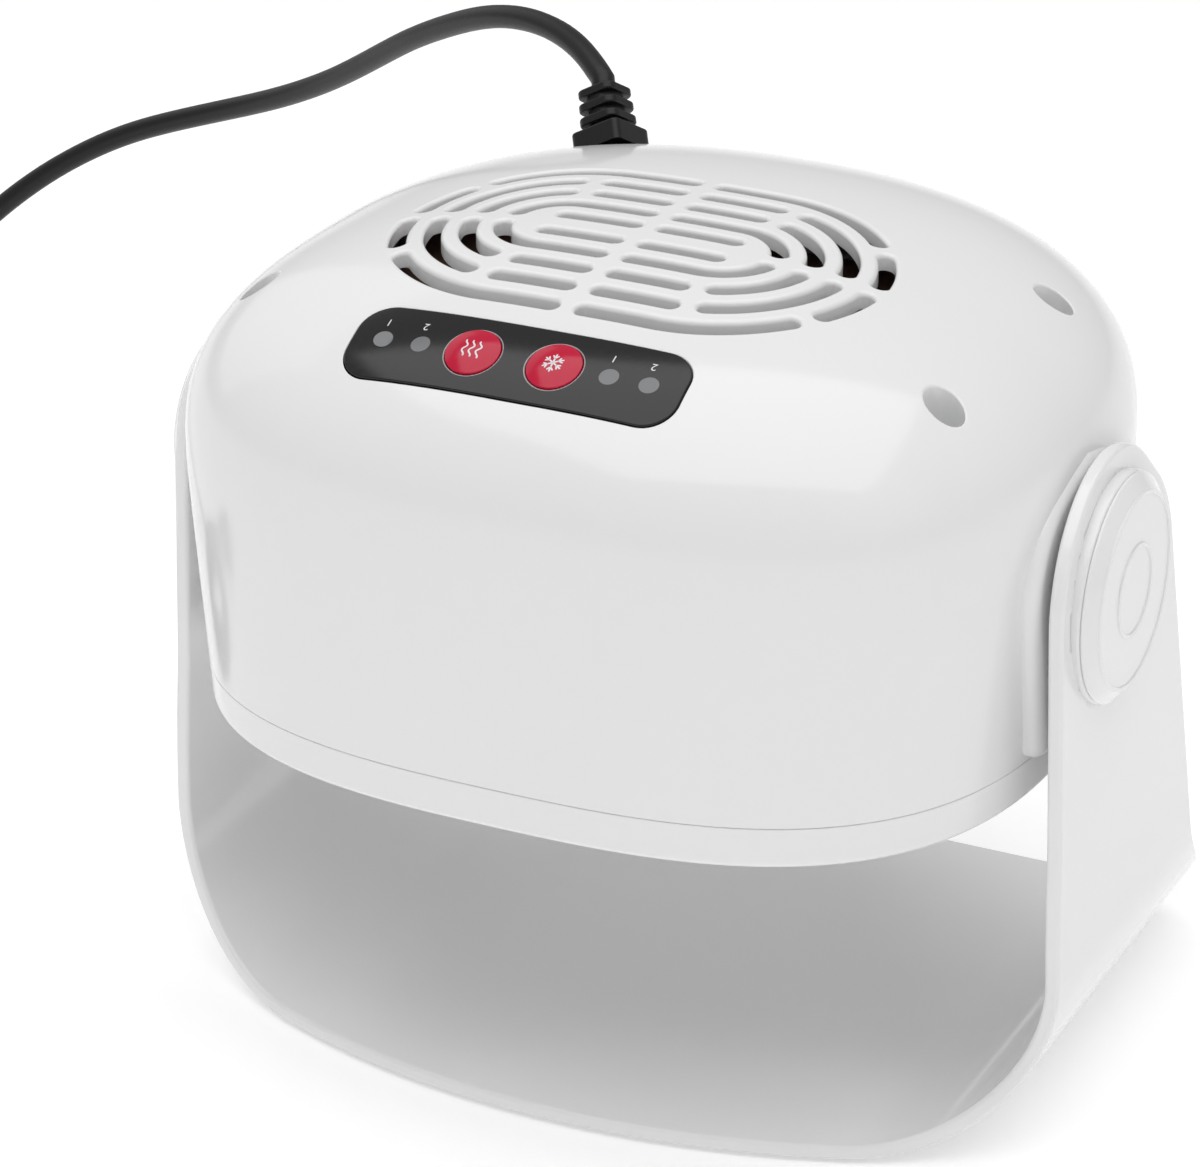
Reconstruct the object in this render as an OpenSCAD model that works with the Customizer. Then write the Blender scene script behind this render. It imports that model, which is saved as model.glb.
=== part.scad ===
// Nail polish fan dryer: a domed fan head that tilts between the two arms
// of a one-piece U-shaped cradle. Millimetres, +Z up, the user in front at -Y.
// Z = 0 is the table. The pivot axis runs along X at pivot_h.

/* [Cradle] */
// Width of the cradle across its outer walls at the floor
base_w = 249; // [235:1:280]
// Thickness of the moulded cradle wall
base_wall = 3.8; // [3:0.1:5]
// Outer radius of the bend between floor and arm
bend_r = 45; // [30:1:55]
// Lean of each arm towards the head, in degrees
arm_lean = 2; // [0:0.5:3]
// Reach of the floor's front rim ahead of the pivot axis
floor_front = 74; // [60:1:85]
// How far the middle of the front rim bows ahead of its corners
front_bow = 40; // [20:1:45]
// Radius of the rounded arm end around the pivot
eye_r = 34.2; // [33:0.1:37]
// How far the heel of the arm end lies behind the pivot
heel_back = 9; // [6:0.5:14]
// How far the heel of the arm end lies below the pivot
heel_drop = 8; // [5:0.5:12]
// Slope of the arm's rear edge, in degrees from upright
rear_slope = 11.8; // [8:0.2:15]
// Diameter of a rubber foot
foot_d = 14; // [10:1:18]
// Height that the feet stand proud of the floor's underside
foot_proud = 1.2; // [0.8:0.1:2]
// Depth of the pocket that holds a foot
foot_pocket = 1; // [0.6:0.1:1.4]

/* [Pivot] */
// Height of the tilt axis above the table
pivot_h = 139; // [134:1:150]
// Radius of the raised boss on the outside of each arm
boss_r = 28.5; // [26:0.5:31]
// Height of the boss above the arm's outer face
boss_out = 2; // [1.5:0.1:3]
// Height of the bearing pad on the arm's inner face
boss_in = 0.8; // [0.5:0.1:1.2]
// Radius of the bore in each arm
bore_r = 11; // [9:0.5:13]
// Radial running clearance of the hub in the bore
run_gap = 0.06; // [0.02:0.01:0.1]
// Gap between flat faces that turn against each other
face_gap = 0.3; // [0.2:0.05:0.4]
// Radius of the round cover cap
cap_r = 24.6; // [22:0.2:26]
// How far the cap stands proud of the boss
cap_proud = 3.3; // [2:0.1:4.5]
// Radius of the raised ring on the cap
cap_ring_r = 11.8; // [8:0.2:15]
// Wall of the cap
cap_wall = 1.8; // [1.4:0.1:2.2]
// Web of the boss that stays under the cap
boss_web = 3.6; // [3:0.1:4.2]
// Thickness of the friction washer
friction_t = 1.5; // [1:0.1:2]
// Outer radius of the friction washer
friction_r = 22; // [18:0.5:25]
// Radius of the retaining washer
keep_r = 16; // [14:0.5:19]
// Thickness of the retaining washer
keep_t = 1.2; // [1:0.1:1.5]
// Shank radius of the pivot screw
pivot_screw_r = 2; // [1.8:0.1:2.5]

/* [Head] */
// How far each pivot pad stands proud of the head's widest line
pad_rise = 0.2856017; // [0:0.01:2]
// Depth of the head in front of its widest line
head_front = 102; // [92:1:106]
// Depth of the head behind its widest line
head_back = 109; // [98:1:114]
// How far the widest line lies behind the pivot axis
head_cy = 6; // [0:1:10]
// Height of the head's underside above the table
head_bottom = 90; // [84:1:96]
// Height of the seam between cover and housing
seam_z = 101; // [98:0.5:106]
// Height at which the wall turns into the dome
shoulder_z = 158; // [150:1:165]
// Height of the top of the dome
head_top = 213; // [208:1:218]
// Draft of the wall, in degrees
draft = 3.5; // [1:0.5:5]
// Squareness of the front half in plan
square_front = 2.8; // [2.4:0.1:3.2]
// Squareness of the rear half in plan
square_back = 2.3; // [2:0.1:2.8]
// Fullness of the dome in section
dome_full = 2.55; // [2.2:0.05:2.9]
// Wall of the mouldings
shell = 2.6; // [2:0.1:3]
// Radius of the flat pad on each side of the head
pad_r = 37; // [34:1:40]
// Height of the lip that locates the cover in the housing
lip_h = 6; // [4:0.5:8]
// Clearance of the lip in the housing
lip_gap = 0.25; // [0.15:0.05:0.4]

/* [Air vent] */
// Centre of the vent, behind the pivot axis
vent_y = -11; // [-16:1:-6]
// Half length of the straight part of the racetrack slots
vent_straight = 21.5; // [18:0.5:24]
// Spacing between neighbouring slots
slot_pitch = 8.5; // [8:0.1:9]
// Distance of the innermost slots from the vent's centre line
slot_first = 5.4; // [5:0.1:6]
// Width of a slot
slot_w = 4.5; // [3.8:0.1:5]
// Width of the bars that cross the slots
bar_w = 4; // [3.4:0.1:4.6]
// Number of curved slot rings around the innermost slots
slot_rings = 4; // [2:1:4]
// How far the innermost slots reach past the straight part
slot_reach = 1; // [0:0.5:2]

/* [Control panel] */
// Length of the black panel
panel_l = 86; // [80:1:92]
// Height of the panel along the slope
panel_h = 22.5; // [20:0.5:24]
// Thickness of the panel
panel_t = 1.2; // [0.8:0.1:1.5]
// Corner radius of the panel
panel_corner = 8; // [6:0.5:10]
// Centre of the panel, sideways
panel_x = -3.9; // [-6:0.1:2]
// Centre of the panel, in front of the pivot axis
panel_front = 70.3; // [68:0.1:72]
// Slope of the buttons and their board, in degrees
panel_slope = 28; // [24:0.5:30]
// Diameter of the push buttons
button_d = 13.5; // [11:0.5:14]
// Distance between the two buttons
button_pitch = 21; // [20:0.5:24]
// Height of the button's crown above the panel
button_proud = 1.6; // [1.2:0.1:2]
// Travel of a button
button_travel = 0.8; // [0.5:0.1:1]
// Gap around a button
button_gap = 0.2; // [0.15:0.05:0.3]
// Diameter of an indicator lamp
led_d = 4.8; // [3:0.1:5]
// Distance of the inner lamps from the panel's centre
led_inner = 24.4; // [23:0.1:26]
// Distance of the outer lamps from the panel's centre
led_outer = 34.4; // [32:0.1:36]

/* [Screw wells] */
// Distance of the screw wells from the middle of the head
well_x = 90; // [86:1:92]
// Distance between the front and rear wells
well_pitch = 70.5; // [66:0.5:74]
// Centre of the wells, behind the pivot axis
well_y = -3.6; // [-6:0.1:0]
// Radius of a screw well
well_r = 5.5; // [5:0.1:6]
// Height of the floor of a well
well_floor = 184; // [180:1:186]
// Shank radius of a housing screw
case_screw_r = 1.5; // [1.3:0.1:1.8]

/* [Blower] */
// Side of the square fan frame
fan_w = 92; // [86:1:96]
// Height of the fan frame
fan_h = 25; // [20:1:25]
// Radius of the fan's air passage
fan_r = 43.5; // [41:0.5:44.5]
// Radius of the fan's motor hub
fan_hub_r = 17; // [14:0.5:19]
// Number of fan blades
blades = 7; // [5:1:9]
// Gap between blade tips and the frame
tip_gap = 1; // [0.7:0.1:1.5]
// Height of the mounting deck above the table
deck_z = 162; // [158:1:166]
// Thickness of the brown laminate boards
board_t = 1.6; // [1.2:0.1:2]
// Outer radius of the air duct under the fan
duct_r = 52; // [50:1:54]
// Wall of the air duct
duct_wall = 1.5; // [1.2:0.1:2]
// Height of the middle of the heating spiral
coil_z = 134; // [125:1:140]
// Outer radius of the heating spiral
heat_r = 43; // [38:1:45]
// Step of the heating spiral from turn to turn
heat_pitch = 9; // [8:0.5:10]
// Turns of the heating spiral
heat_turns = 3; // [2:1:3]
// Thickness of the heating coil
heat_d = 3; // [2.5:0.1:3.5]
// Height of the mica boards
mica_h = 24; // [20:1:30]
// Thickness of the mica boards
mica_t = 1; // [0.8:0.1:1.2]

/* [Outlet] */
// Length of the outlet opening
outlet_l = 150; // [130:1:156]
// Depth of the outlet opening
outlet_w = 92; // [80:1:100]
// Spacing of the outlet holes
hole_pitch = 7.5; // [7:0.1:9]
// Diameter of an outlet hole
hole_d = 5; // [4:0.1:5.5]
// Thickness of the grille plate
grille_t = 2; // [1.6:0.1:2.4]

/* [Mains lead] */
// Diameter of the lead
cord_d = 6.4; // [6:0.1:6.6]
// Sideways place of the gland
gland_x = -51.5; // [-56:0.5:-50]
// Place of the gland behind the pivot axis
gland_y = 79; // [76:0.5:82]
// Backward lean of the gland, in degrees
gland_back = 33; // [25:1:36]
// Sideways lean of the gland, in degrees
gland_side = 28; // [20:1:30]
// Length of the gland outside the head
gland_l = 16.5; // [15:0.5:20]
// Radius of the gland's ribs
gland_r = 7.4; // [7:0.1:8]
// Side of the gland's square flange
gland_flange = 15; // [14.5:0.1:17]
// Radius of the coil's innermost turn
coil_in = 25.4; // [25:0.1:30]
// Distance between neighbouring turns of the coil
coil_pitch = 7.2; // [7.2:0.1:8]
// Turns of the coil, in two layers
coil_turns = 5; // [3:1:5]
// Width of the plug
plug_w = 25; // [22:1:28]
// Length of the plug's grip
plug_l = 33; // [28:1:38]
// Distance between the plug's blades
blade_pitch = 12.7; // [12:0.1:13]
// Length of the plug's blades
blade_l = 17; // [15:0.5:18]

/* [Hidden] */
$fn = 64;
big = 400;
eps = 0.01;

// The frame's origin lies under the middle of the head, on the table.
pivot_y = -(2 * head_cy + head_back - head_front) / 2;

// Cradle section: bend centre, and the arm's outer face at the pivot's height.
lean = tan(arm_lean);
lean_k = sqrt(1 + lean * lean);
bend_x = base_w / 2 - lean * bend_r - bend_r * lean_k;
bend_z = foot_proud + bend_r;
bow_r = (base_w * base_w / 4 + front_bow * front_bow) / (2 * front_bow);
arm_x = base_w / 2 - lean * (pivot_h - foot_proud);
foot_x = 72;
foot_front = 40;
foot_rear = 48;

// Pivot stack, from the head outwards.
boss_face = arm_x + boss_out;
bearing_face = arm_x - base_wall * lean_k - boss_in;
pad_x = bearing_face - face_gap - friction_t;
head_w = 2 * (pad_x - pad_rise);
web_face = bearing_face + boss_web;
hub_end = web_face + face_gap;
hub_r = bore_r - run_gap;
spigot_r = 7;
spigot_l = 4;
socket_gap = 0.05;
well_cap_r = cap_r - 1;
cap_snap_gap = 0.15;
pilot_l = 16;
screw_fit = 0.05;

// Head shell.
facets = 72;
dome_steps = 9;
wall_steps = 2;
dome_h = head_top - shoulder_z;
lip_wall = 1.8;
post_r = 4.5;
well_wall = 1.8;
well_web = 2.4;
well_screw_head_r = 3;
screw_head_t = 2;
post_gap = 0.1;

// Air vent: distance of a slot ring from the racetrack's axis.
function ring_r(i) = slot_first + i * slot_pitch;
inner_turns = [-80, 0, 80];
outer_turns = [-35, 0, 35];

// Control panel: its frame lies on the dome at the panel's centre.
panel_y = -panel_front;
panel_z = dome_z(panel_x, panel_y);
seat_t = 2;
panel_sag = 1.5;
seat_border = 4;
panel_proud = 0.3;
panel_gap = 0.2;
button_crown = 1.2;
button_flange_t = 1;
button_flange_w = 1.4;
button_flange_gap = 0.6;
button_stem_r = 3;
led_sink = 0.9;
board_top = -11.4;
board_l = 92;
board_w = 27;
switch_h = 2.4;
switch_w = 7;
board_screw_x = 41;
board_screw_y = 9.5;
board_post_r = 2.6;
board_screw_r = 1.1;

// Blower.
deck_l = 168;
deck_w = 2 * duct_r;
deck_corner = 20;
deck_post_x = deck_l / 2 - 9;
deck_post_y = deck_w / 2 - 14;
deck_screw_r = 1.5;
fan_z = deck_z + board_t;
fan_hole = fan_w / 2 - 4.8;
fan_screw_r = 1.6;
strut_h = 4;
shaft_r = 1.5;
duct_foot = 4;
mica_gap = 0.3;
heat_inner = heat_r - heat_turns * heat_pitch;
heat_rings = 24;
coil_sides = 6;

// Outlet.
grille_lip = 3;
grille_gap = 0.2;
mesh_l = outlet_l - 22;
mesh_w = outlet_w - 22;

// Gland and what lies behind it in the head.
gland_seat_t = 1.5;
gland_seat_z = dome_z(gland_x, gland_y);
gland_axis = [-cos(gland_back) * sin(gland_side), sin(gland_back), cos(gland_back) * cos(gland_side)];
gland_foot = [gland_x, gland_y, gland_seat_z];
gland_tip = gland_foot + gland_l * gland_axis;
gland_boss_t = 7;
gland_tail = 12;
gland_tiers = 3;
nut_t = 4;
block_size = [22, 14, 11];
block_inset = 16;
block_x = block_inset - deck_l / 2;
block_y = 8;
harness_d = 4;
tube_sides = 10;

// The route of the loose stretch, from the gland to the coil on the table,
// about the pivot's place in plan. The points are chosen by hand.
loose_route = [[-64, 94.5, 217.5], [-72, 100, 219.5], [-82, 106, 220.5], [-94, 112, 220],
    [-106, 118, 217], [-118, 125, 212], [-130, 132, 206], [-142, 139, 200], [-153, 146, 193],
    [-164, 153, 186], [-175, 159, 179], [-187, 166, 172], [-199, 171, 166], [-212, 176, 160],
    [-225, 180, 155], [-239, 182, 150], [-253, 183, 145], [-267, 183, 140], [-280, 181, 133],
    [-292, 178, 126], [-303, 174, 117], [-313, 168, 108], [-321, 161, 97], [-328, 153, 87],
    [-333, 143, 77], [-337, 133, 67], [-340, 122, 57], [-343, 111, 48], [-345, 100, 39],
    [-346, 88, 30], [-347, 75, 22], [-348, 62, 15], [-349, 48, 9], [-350, 34, 5.5],
    [-350, 20, 4.4], [-350, 10, 4.4]];
lead_route = concat([gland_tip, gland_tip + 4 * gland_axis], loose_route);
lead_end = loose_route[len(loose_route) - 1];

// The coil spirals in on the table, climbs a layer and spirals out again.
coil_rings = 24;
coil_soft = 0.15;
coil_half = 180 * coil_turns;
coil_tail = 28;
function coil_r(turn) = let (back = (turn - coil_half) / 360)
    coil_in + coil_pitch * (sqrt(back * back + coil_soft * coil_soft) - coil_soft);
function coil_lift(turn) = let (t = min(max((turn - coil_half + 90) / 180, 0), 1))
    coil_pitch * t * t * (3 - 2 * t);
coil_x = lead_end[0] + coil_r(0);
coil_y = lead_end[1] - cord_d;
function coil_at(turn) = [coil_x + coil_r(turn) * cos(180 + turn),
    coil_y + coil_r(turn) * sin(180 + turn), lead_end[2] + coil_lift(turn)];
coil_out = coil_at(2 * coil_half);
coil_route = concat([lead_end],
    [for (i = [0:coil_turns * coil_rings]) coil_at(360 * i / coil_rings)],
    [coil_out - [0, coil_tail / 2, 0], coil_out - [0, coil_tail, 0]]);
plug_at = coil_out - [0, coil_tail, 0];
plug_h = 2 * plug_at[2] - 0.4;
relief_l = 22;
relief_r = 4.4;
blade_w = 6.3;
blade_t = 1.5;
blade_root = 8;
tie_w = 12;
tie_t = 0.8;
tie_gap = 0.3;

function sum(values, i = 0) = i < len(values) ? values[i] + sum(values, i + 1) : 0;
function route_length(points) = sum([for (i = [1:len(points) - 1]) norm(points[i] - points[i - 1])]);

// The least gap between neighbouring turns, on finely spaced points.
fine = 96;
coil_fine = [for (i = [0:coil_turns * fine]) coil_at(360 * i / fine)];
coil_gap = min([for (i = [0:(coil_turns - 1) * fine - 4], j = [-4:4])
    norm(coil_fine[i + fine + j] - coil_fine[i])]) - cord_d;
echo(least_gap_of_coil = coil_gap, lead_length = route_length(lead_route),
    coil_length = route_length(coil_route));

function power(v, e) = sign(v) * pow(abs(v), e);

// One point of the head's outline: a superellipse with its own depth and
// squareness in front and behind, drawn in by inset.
function outline_point(turn, inset) =
    let (s = sin(turn), m = s < 0 ? square_front : square_back,
        depth = (s < 0 ? head_front : head_back) - inset)
    [(head_w / 2 - inset) * power(cos(turn), 2 / m), head_cy + depth * power(s, 2 / m)];

function outline(inset, shrink = 1) =
    [for (i = [0:facets - 1]) let (p = outline_point(360 * i / facets, inset))
        [p[0] * shrink, head_cy + (p[1] - head_cy) * shrink]];

function wall_inset(z) = tan(draft) * (shoulder_z - z);

// Outline levels from z_low up the wall and over the dome: [height, inset, shrink].
function levels(z_low, skin) = concat(
    [for (i = [0:wall_steps]) let (z = z_low + (shoulder_z - z_low) * i / wall_steps)
        [z, skin + wall_inset(z), 1]],
    [for (i = [1:dome_steps - 1]) let (a = 90 * i / dome_steps)
        [shoulder_z + (dome_h - skin) * pow(sin(a), 2 / dome_full), skin,
            pow(cos(a), 2 / dome_full)]]);

// Triangles between two rings of count points that start at a and b.
function band(a, b, count) = [for (i = [0:count - 1], k = [0, 1]) let (j = (i + 1) % count)
    k == 0 ? [a + i, b + j, a + j] : [a + i, b + i, b + j]];

// Height of the dome over a point in plan.
function dome_z(x, y) =
    let (m = y < head_cy ? square_front : square_back,
        depth = y < head_cy ? head_front : head_back,
        share = pow(pow(abs(2 * x / head_w), m) + pow(abs((y - head_cy) / depth), m), 1 / m))
    shoulder_z + dome_h * pow(1 - pow(share, dome_full), 1 / dome_full);

// The closed dome over the outline, from z_low up, drawn in by skin.
module dome(z_low, skin) {
    rows = levels(z_low, skin);
    last = len(rows) - 1;
    points = concat(
        [for (row = rows, p = outline(row[1], row[2])) [p[0], p[1], row[0]]],
        [[0, head_cy, head_top - skin]]);
    apex = len(points) - 1;
    polyhedron(points, concat(
        [[for (i = [0:facets - 1]) i]],
        [for (r = [0:last - 1], f = band(r * facets, (r + 1) * facets, facets)) f],
        [for (i = [0:facets - 1]) [last * facets + i, apex, last * facets + (i + 1) % facets]]));
}

// A slice of the drafted wall between two heights, drawn in by skin.
module wall_slice(z_low, z_high, skin) {
    points = concat(
        [for (p = outline(skin + wall_inset(z_low))) [p[0], p[1], z_low]],
        [for (p = outline(skin + wall_inset(z_high))) [p[0], p[1], z_high]]);
    polyhedron(points, concat(
        [[for (i = [0:facets - 1]) i]],
        band(0, facets, facets),
        [[for (i = [0:facets - 1]) 2 * facets - 1 - i]]));
}

// Everything is drawn about the pivot's place in plan and moved to the frame here.
module place() {
    translate([0, pivot_y, 0]) children();
}

// A cylinder along X from x_a to x_b on the pivot axis, on the given side.
module on_axis(side, x_a, x_b, r) {
    translate([side > 0 ? x_a : -x_b, 0, pivot_h]) rotate([0, 90, 0]) cylinder(h = x_b - x_a, r = r);
}

module both_sides() {
    for (left = [0, 1]) mirror([left, 0, 0]) children();
}

module well_spots() {
    for (sx = [-1, 1], sy = [-1, 1])
        translate([sx * well_x, well_y + sy * well_pitch / 2, 0]) children();
}

module panel_frame() {
    translate([panel_x, panel_y, panel_z]) rotate([panel_slope, 0, 0]) children();
}

module gland_frame() {
    translate(gland_foot) rotate([-gland_back, -gland_side, 0]) children();
}

module deck_spots() {
    for (sx = [-1, 1], sy = [-1, 1])
        translate([sx * deck_post_x, vent_y + sy * deck_post_y, 0]) children();
}

module rounded_rect(l, w, r) {
    square([l - 2 * r, w], center = true);
    square([l, w - 2 * r], center = true);
    for (sx = [-1, 1], sy = [-1, 1])
        translate([sx * (l / 2 - r), sy * (w / 2 - r)]) circle(r);
}

// ---------- Cradle ----------

module cradle_section(inset) {
    r = bend_r - inset;
    touch_x = bend_x + r / lean_k;
    touch_z = bend_z + r * lean / lean_k;
    top_x = touch_x - lean * (big / 2 - touch_z);
    polygon([[-bend_x, foot_proud + inset], [bend_x, foot_proud + inset], [touch_x, touch_z],
        [top_x, big / 2], [-top_x, big / 2], [-touch_x, touch_z]]);
    for (side = [-1, 1])
        translate([side * bend_x, bend_z]) circle(r, $fn = 128);
}

module cradle_side() {
    heel = [heel_back, pivot_h - heel_drop];
    up = [heel_drop, heel_back] / sqrt(heel_back * heel_back + heel_drop * heel_drop);
    out = [cos(rear_slope), sin(rear_slope)];
    rear = heel + eye_r * out;
    polygon([[-eye_r, pivot_h], [0, pivot_h] + eye_r * up, heel + eye_r * up, rear,
        [rear[0] + tan(rear_slope) * (rear[1] + eps), -eps],
        [-floor_front - 1, -eps], [-floor_front - 1, bend_z / 2],
        [-eye_r - 2.5, bend_z], [-eye_r, pivot_h - eye_r - 20]]);
    for (spot = [[0, pivot_h], heel])
        translate(spot) circle(eye_r, $fn = 128);
}

module foot_spots() {
    for (sx = [-1, 1], y = [-foot_front, foot_rear])
        translate([sx * foot_x, y, 0]) children();
}

module base_cradle() {
    color("white") place() difference() {
        union() {
            intersection() {
                rotate([90, 0, 0]) linear_extrude(big, center = true) difference() {
                    cradle_section(0);
                    cradle_section(base_wall);
                }
                rotate([90, 0, 90]) linear_extrude(big, center = true) cradle_side();
                translate([0, bow_r - floor_front, 0]) cylinder(h = big / 2, r = bow_r, $fn = 256);
            }
            for (side = [-1, 1]) on_axis(side, bearing_face, boss_face, boss_r);
        }
        for (side = [-1, 1]) {
            on_axis(side, bearing_face - 1, boss_face + 1, bore_r);
            on_axis(side, web_face, boss_face + 1, well_cap_r);
        }
        foot_spots() cylinder(h = foot_proud + foot_pocket, r = foot_d / 2 + 0.1);
    }
}

module rubber_feet() {
    color("dimgray") place() foot_spots() {
        cylinder(h = 0.6, r1 = foot_d / 2 - 0.6, r2 = foot_d / 2);
        translate([0, 0, 0.6]) cylinder(h = foot_proud + foot_pocket - 0.6, r = foot_d / 2);
    }
}

// ---------- Pivot ----------

// The cap drawn on the +X side: domed plate, snap skirt and a raised ring.
module pivot_cap() {
    face = boss_face + cap_proud;
    edge = 1.2;
    difference() {
        union() {
            on_axis(1, boss_face, face - edge, cap_r);
            translate([face - edge, 0, pivot_h]) rotate([0, 90, 0])
                cylinder(h = edge, r1 = cap_r, r2 = cap_r - edge);
            on_axis(1, web_face, boss_face, well_cap_r - cap_snap_gap);
            on_axis(1, face, face + 0.5, cap_ring_r);
        }
        on_axis(1, web_face - 1, face - cap_wall, well_cap_r - cap_snap_gap - cap_wall);
        on_axis(1, face - 0.4, face + 1, cap_ring_r - 4.4);
    }
}

module pivot_cap_right() {
    color("white") place() pivot_cap();
}

module pivot_cap_left() {
    color("white") place() mirror([1, 0, 0]) pivot_cap();
}

module pivot_hubs() {
    color("gainsboro") place() both_sides() difference() {
        union() {
            on_axis(1, pad_x, hub_end, hub_r);
            on_axis(1, pad_x - spigot_l, pad_x, spigot_r);
        }
        on_axis(1, pad_x - spigot_l - 1, hub_end + 1, pivot_screw_r + screw_fit);
    }
}

module pivot_washers() {
    color("silver") place() both_sides() difference() {
        on_axis(1, hub_end, hub_end + keep_t, keep_r);
        on_axis(1, hub_end - 1, hub_end + keep_t + 1, pivot_screw_r + screw_fit);
    }
}

module pivot_screws() {
    seat = hub_end + keep_t;
    color("silver") place() both_sides() difference() {
        union() {
            on_axis(1, pad_x - pilot_l + 1, seat, pivot_screw_r);
            on_axis(1, seat, seat + screw_head_t, 2 * pivot_screw_r);
        }
        translate([seat + screw_head_t, 0, pivot_h])
            for (turn = [0, 90]) rotate([turn, 0, 0]) cube([2, 4.4, 0.9], center = true);
    }
}

module friction_washers() {
    color("dimgray") place() both_sides() difference() {
        on_axis(1, pad_x, pad_x + friction_t, friction_r);
        on_axis(1, pad_x - 1, pad_x + friction_t + 1, hub_r + screw_fit);
    }
}

// ---------- Head shell ----------

module stadium(half, r) {
    square([2 * half, 2 * r], center = true);
    for (side = [-1, 1]) translate([side * half, 0]) circle(r, $fn = 96);
}

// A pie slice from the right end of the racetrack, a degrees wide, about turn.
module bar_slice(turn, a) {
    translate([vent_straight, 0]) rotate(turn)
        polygon([[0, 0], [big, -big * tan(a / 2)], [big, big * tan(a / 2)]]);
}

// One ring of slots: the racetrack band, less the bars, with round slot ends.
// turns lists the bars around the right end; the left end turns by half.
module slot_ring(r, turns) {
    gap = bar_w + slot_w;
    difference() {
        stadium(vent_straight, r + slot_w / 2);
        stadium(vent_straight, r - slot_w / 2);
        square([gap, big], center = true);
        for (half = [0, 180], turn = turns)
            rotate(half) bar_slice(turn, gap / r * 180 / PI);
    }
    for (half = [0, 180]) rotate(half) {
        for (sx = [-1, 1]) translate([sx * gap / 2, r]) circle(slot_w / 2, $fn = 24);
        for (turn = turns, s = [-1, 1])
            translate([vent_straight, 0]) rotate(turn + s * gap / r * 90 / PI)
                translate([r, 0]) circle(slot_w / 2, $fn = 24);
    }
}

module vent_slots() {
    inner_l = vent_straight + slot_reach;
    for (sx = [-1, 1], sy = [-1, 1])
        translate([sx * (bar_w + slot_w) / 2, sy * slot_first]) {
            circle(slot_w / 2, $fn = 24);
            translate([sx * inner_l, 0]) circle(slot_w / 2, $fn = 24);
            translate([sx > 0 ? 0 : -inner_l, -slot_w / 2]) square([inner_l, slot_w]);
        }
    for (i = [1:slot_rings])
        slot_ring(ring_r(i), i == slot_rings ? outer_turns : i == 1 ? [0] : inner_turns);
}

// The panel's outline as a prism, grown by grow, from low to high.
module panel_prism(grow, low, high) {
    translate([0, 0, low]) linear_extrude(high - low)
        rounded_rect(panel_l + 2 * grow, panel_h + 2 * grow, panel_corner + grow);
}

// The part of the dome's skin under the panel, between two depths.
module panel_skin(grow, high, low) {
    intersection() {
        panel_frame() panel_prism(grow, -16, 10);
        difference() {
            dome(shoulder_z, high);
            dome(shoulder_z - 1, low);
        }
    }
}

module board_spots() {
    for (sx = [-1, 1], sy = [-1, 1])
        translate([sx * board_screw_x, sy * board_screw_y, 0]) children();
}

module lamp_spots() {
    for (x = [-led_outer, -led_inner, led_inner, led_outer]) translate([x, 0, 0]) children();
}

module top_housing() {
    color("white") place() difference() {
        union() {
            difference() {
                dome(seam_z, 0);
                dome(seam_z - 1, shell);
            }
            intersection() {
                dome(seam_z, shell / 2);
                union() {
                    well_spots() translate([0, 0, well_floor - well_web])
                        cylinder(h = big / 4, r = well_r + well_wall);
                    panel_frame() {
                        panel_prism(seat_border, -panel_t - seat_t - panel_sag, 2);
                        board_spots() translate([0, 0, board_top])
                            cylinder(h = -board_top - panel_t - seat_t / 2, r = board_post_r);
                    }
                    gland_frame() translate([0, 0, -gland_boss_t])
                        cylinder(h = 8, r = gland_r + 4);
                }
            }
            for (side = [-1, 1]) {
                on_axis(side, pad_x - shell, pad_x, pad_r);
                on_axis(side, pad_x - pilot_l, pad_x - shell + eps, spigot_r + 3);
            }
        }
        for (side = [-1, 1]) {
            on_axis(side, pad_x - spigot_l, pad_x + 1, spigot_r + socket_gap);
            on_axis(side, pad_x - pilot_l - 1, pad_x, pivot_screw_r + screw_fit);
        }
        translate([0, vent_y, shoulder_z]) linear_extrude(big / 4) vent_slots();
        well_spots() {
            translate([0, 0, well_floor]) cylinder(h = big / 4, r = well_r);
            cylinder(h = big, r = case_screw_r + screw_fit);
        }
        difference() {
            panel_frame() panel_prism(panel_gap, -6, 12);
            dome(shoulder_z - 1, panel_t);
        }
        panel_frame() {
            for (sx = [-1, 1]) translate([sx * button_pitch / 2, 0, -9])
                cylinder(h = 12, r = button_d / 2 + button_gap);
            lamp_spots() translate([0, 0, -9]) cylinder(h = 12, r = led_d / 2 + 0.1);
            board_spots() translate([0, 0, board_top - 1]) cylinder(h = 7, r = board_screw_r);
        }
        gland_frame() {
            translate([0, 0, -gland_tail - 3]) cylinder(h = 30, r = gland_r + 0.05);
            translate([0, 0, -gland_seat_t]) linear_extrude(24)
                rounded_rect(gland_flange + 0.4, gland_flange + 0.4, 2.2);
        }
    }
}

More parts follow.
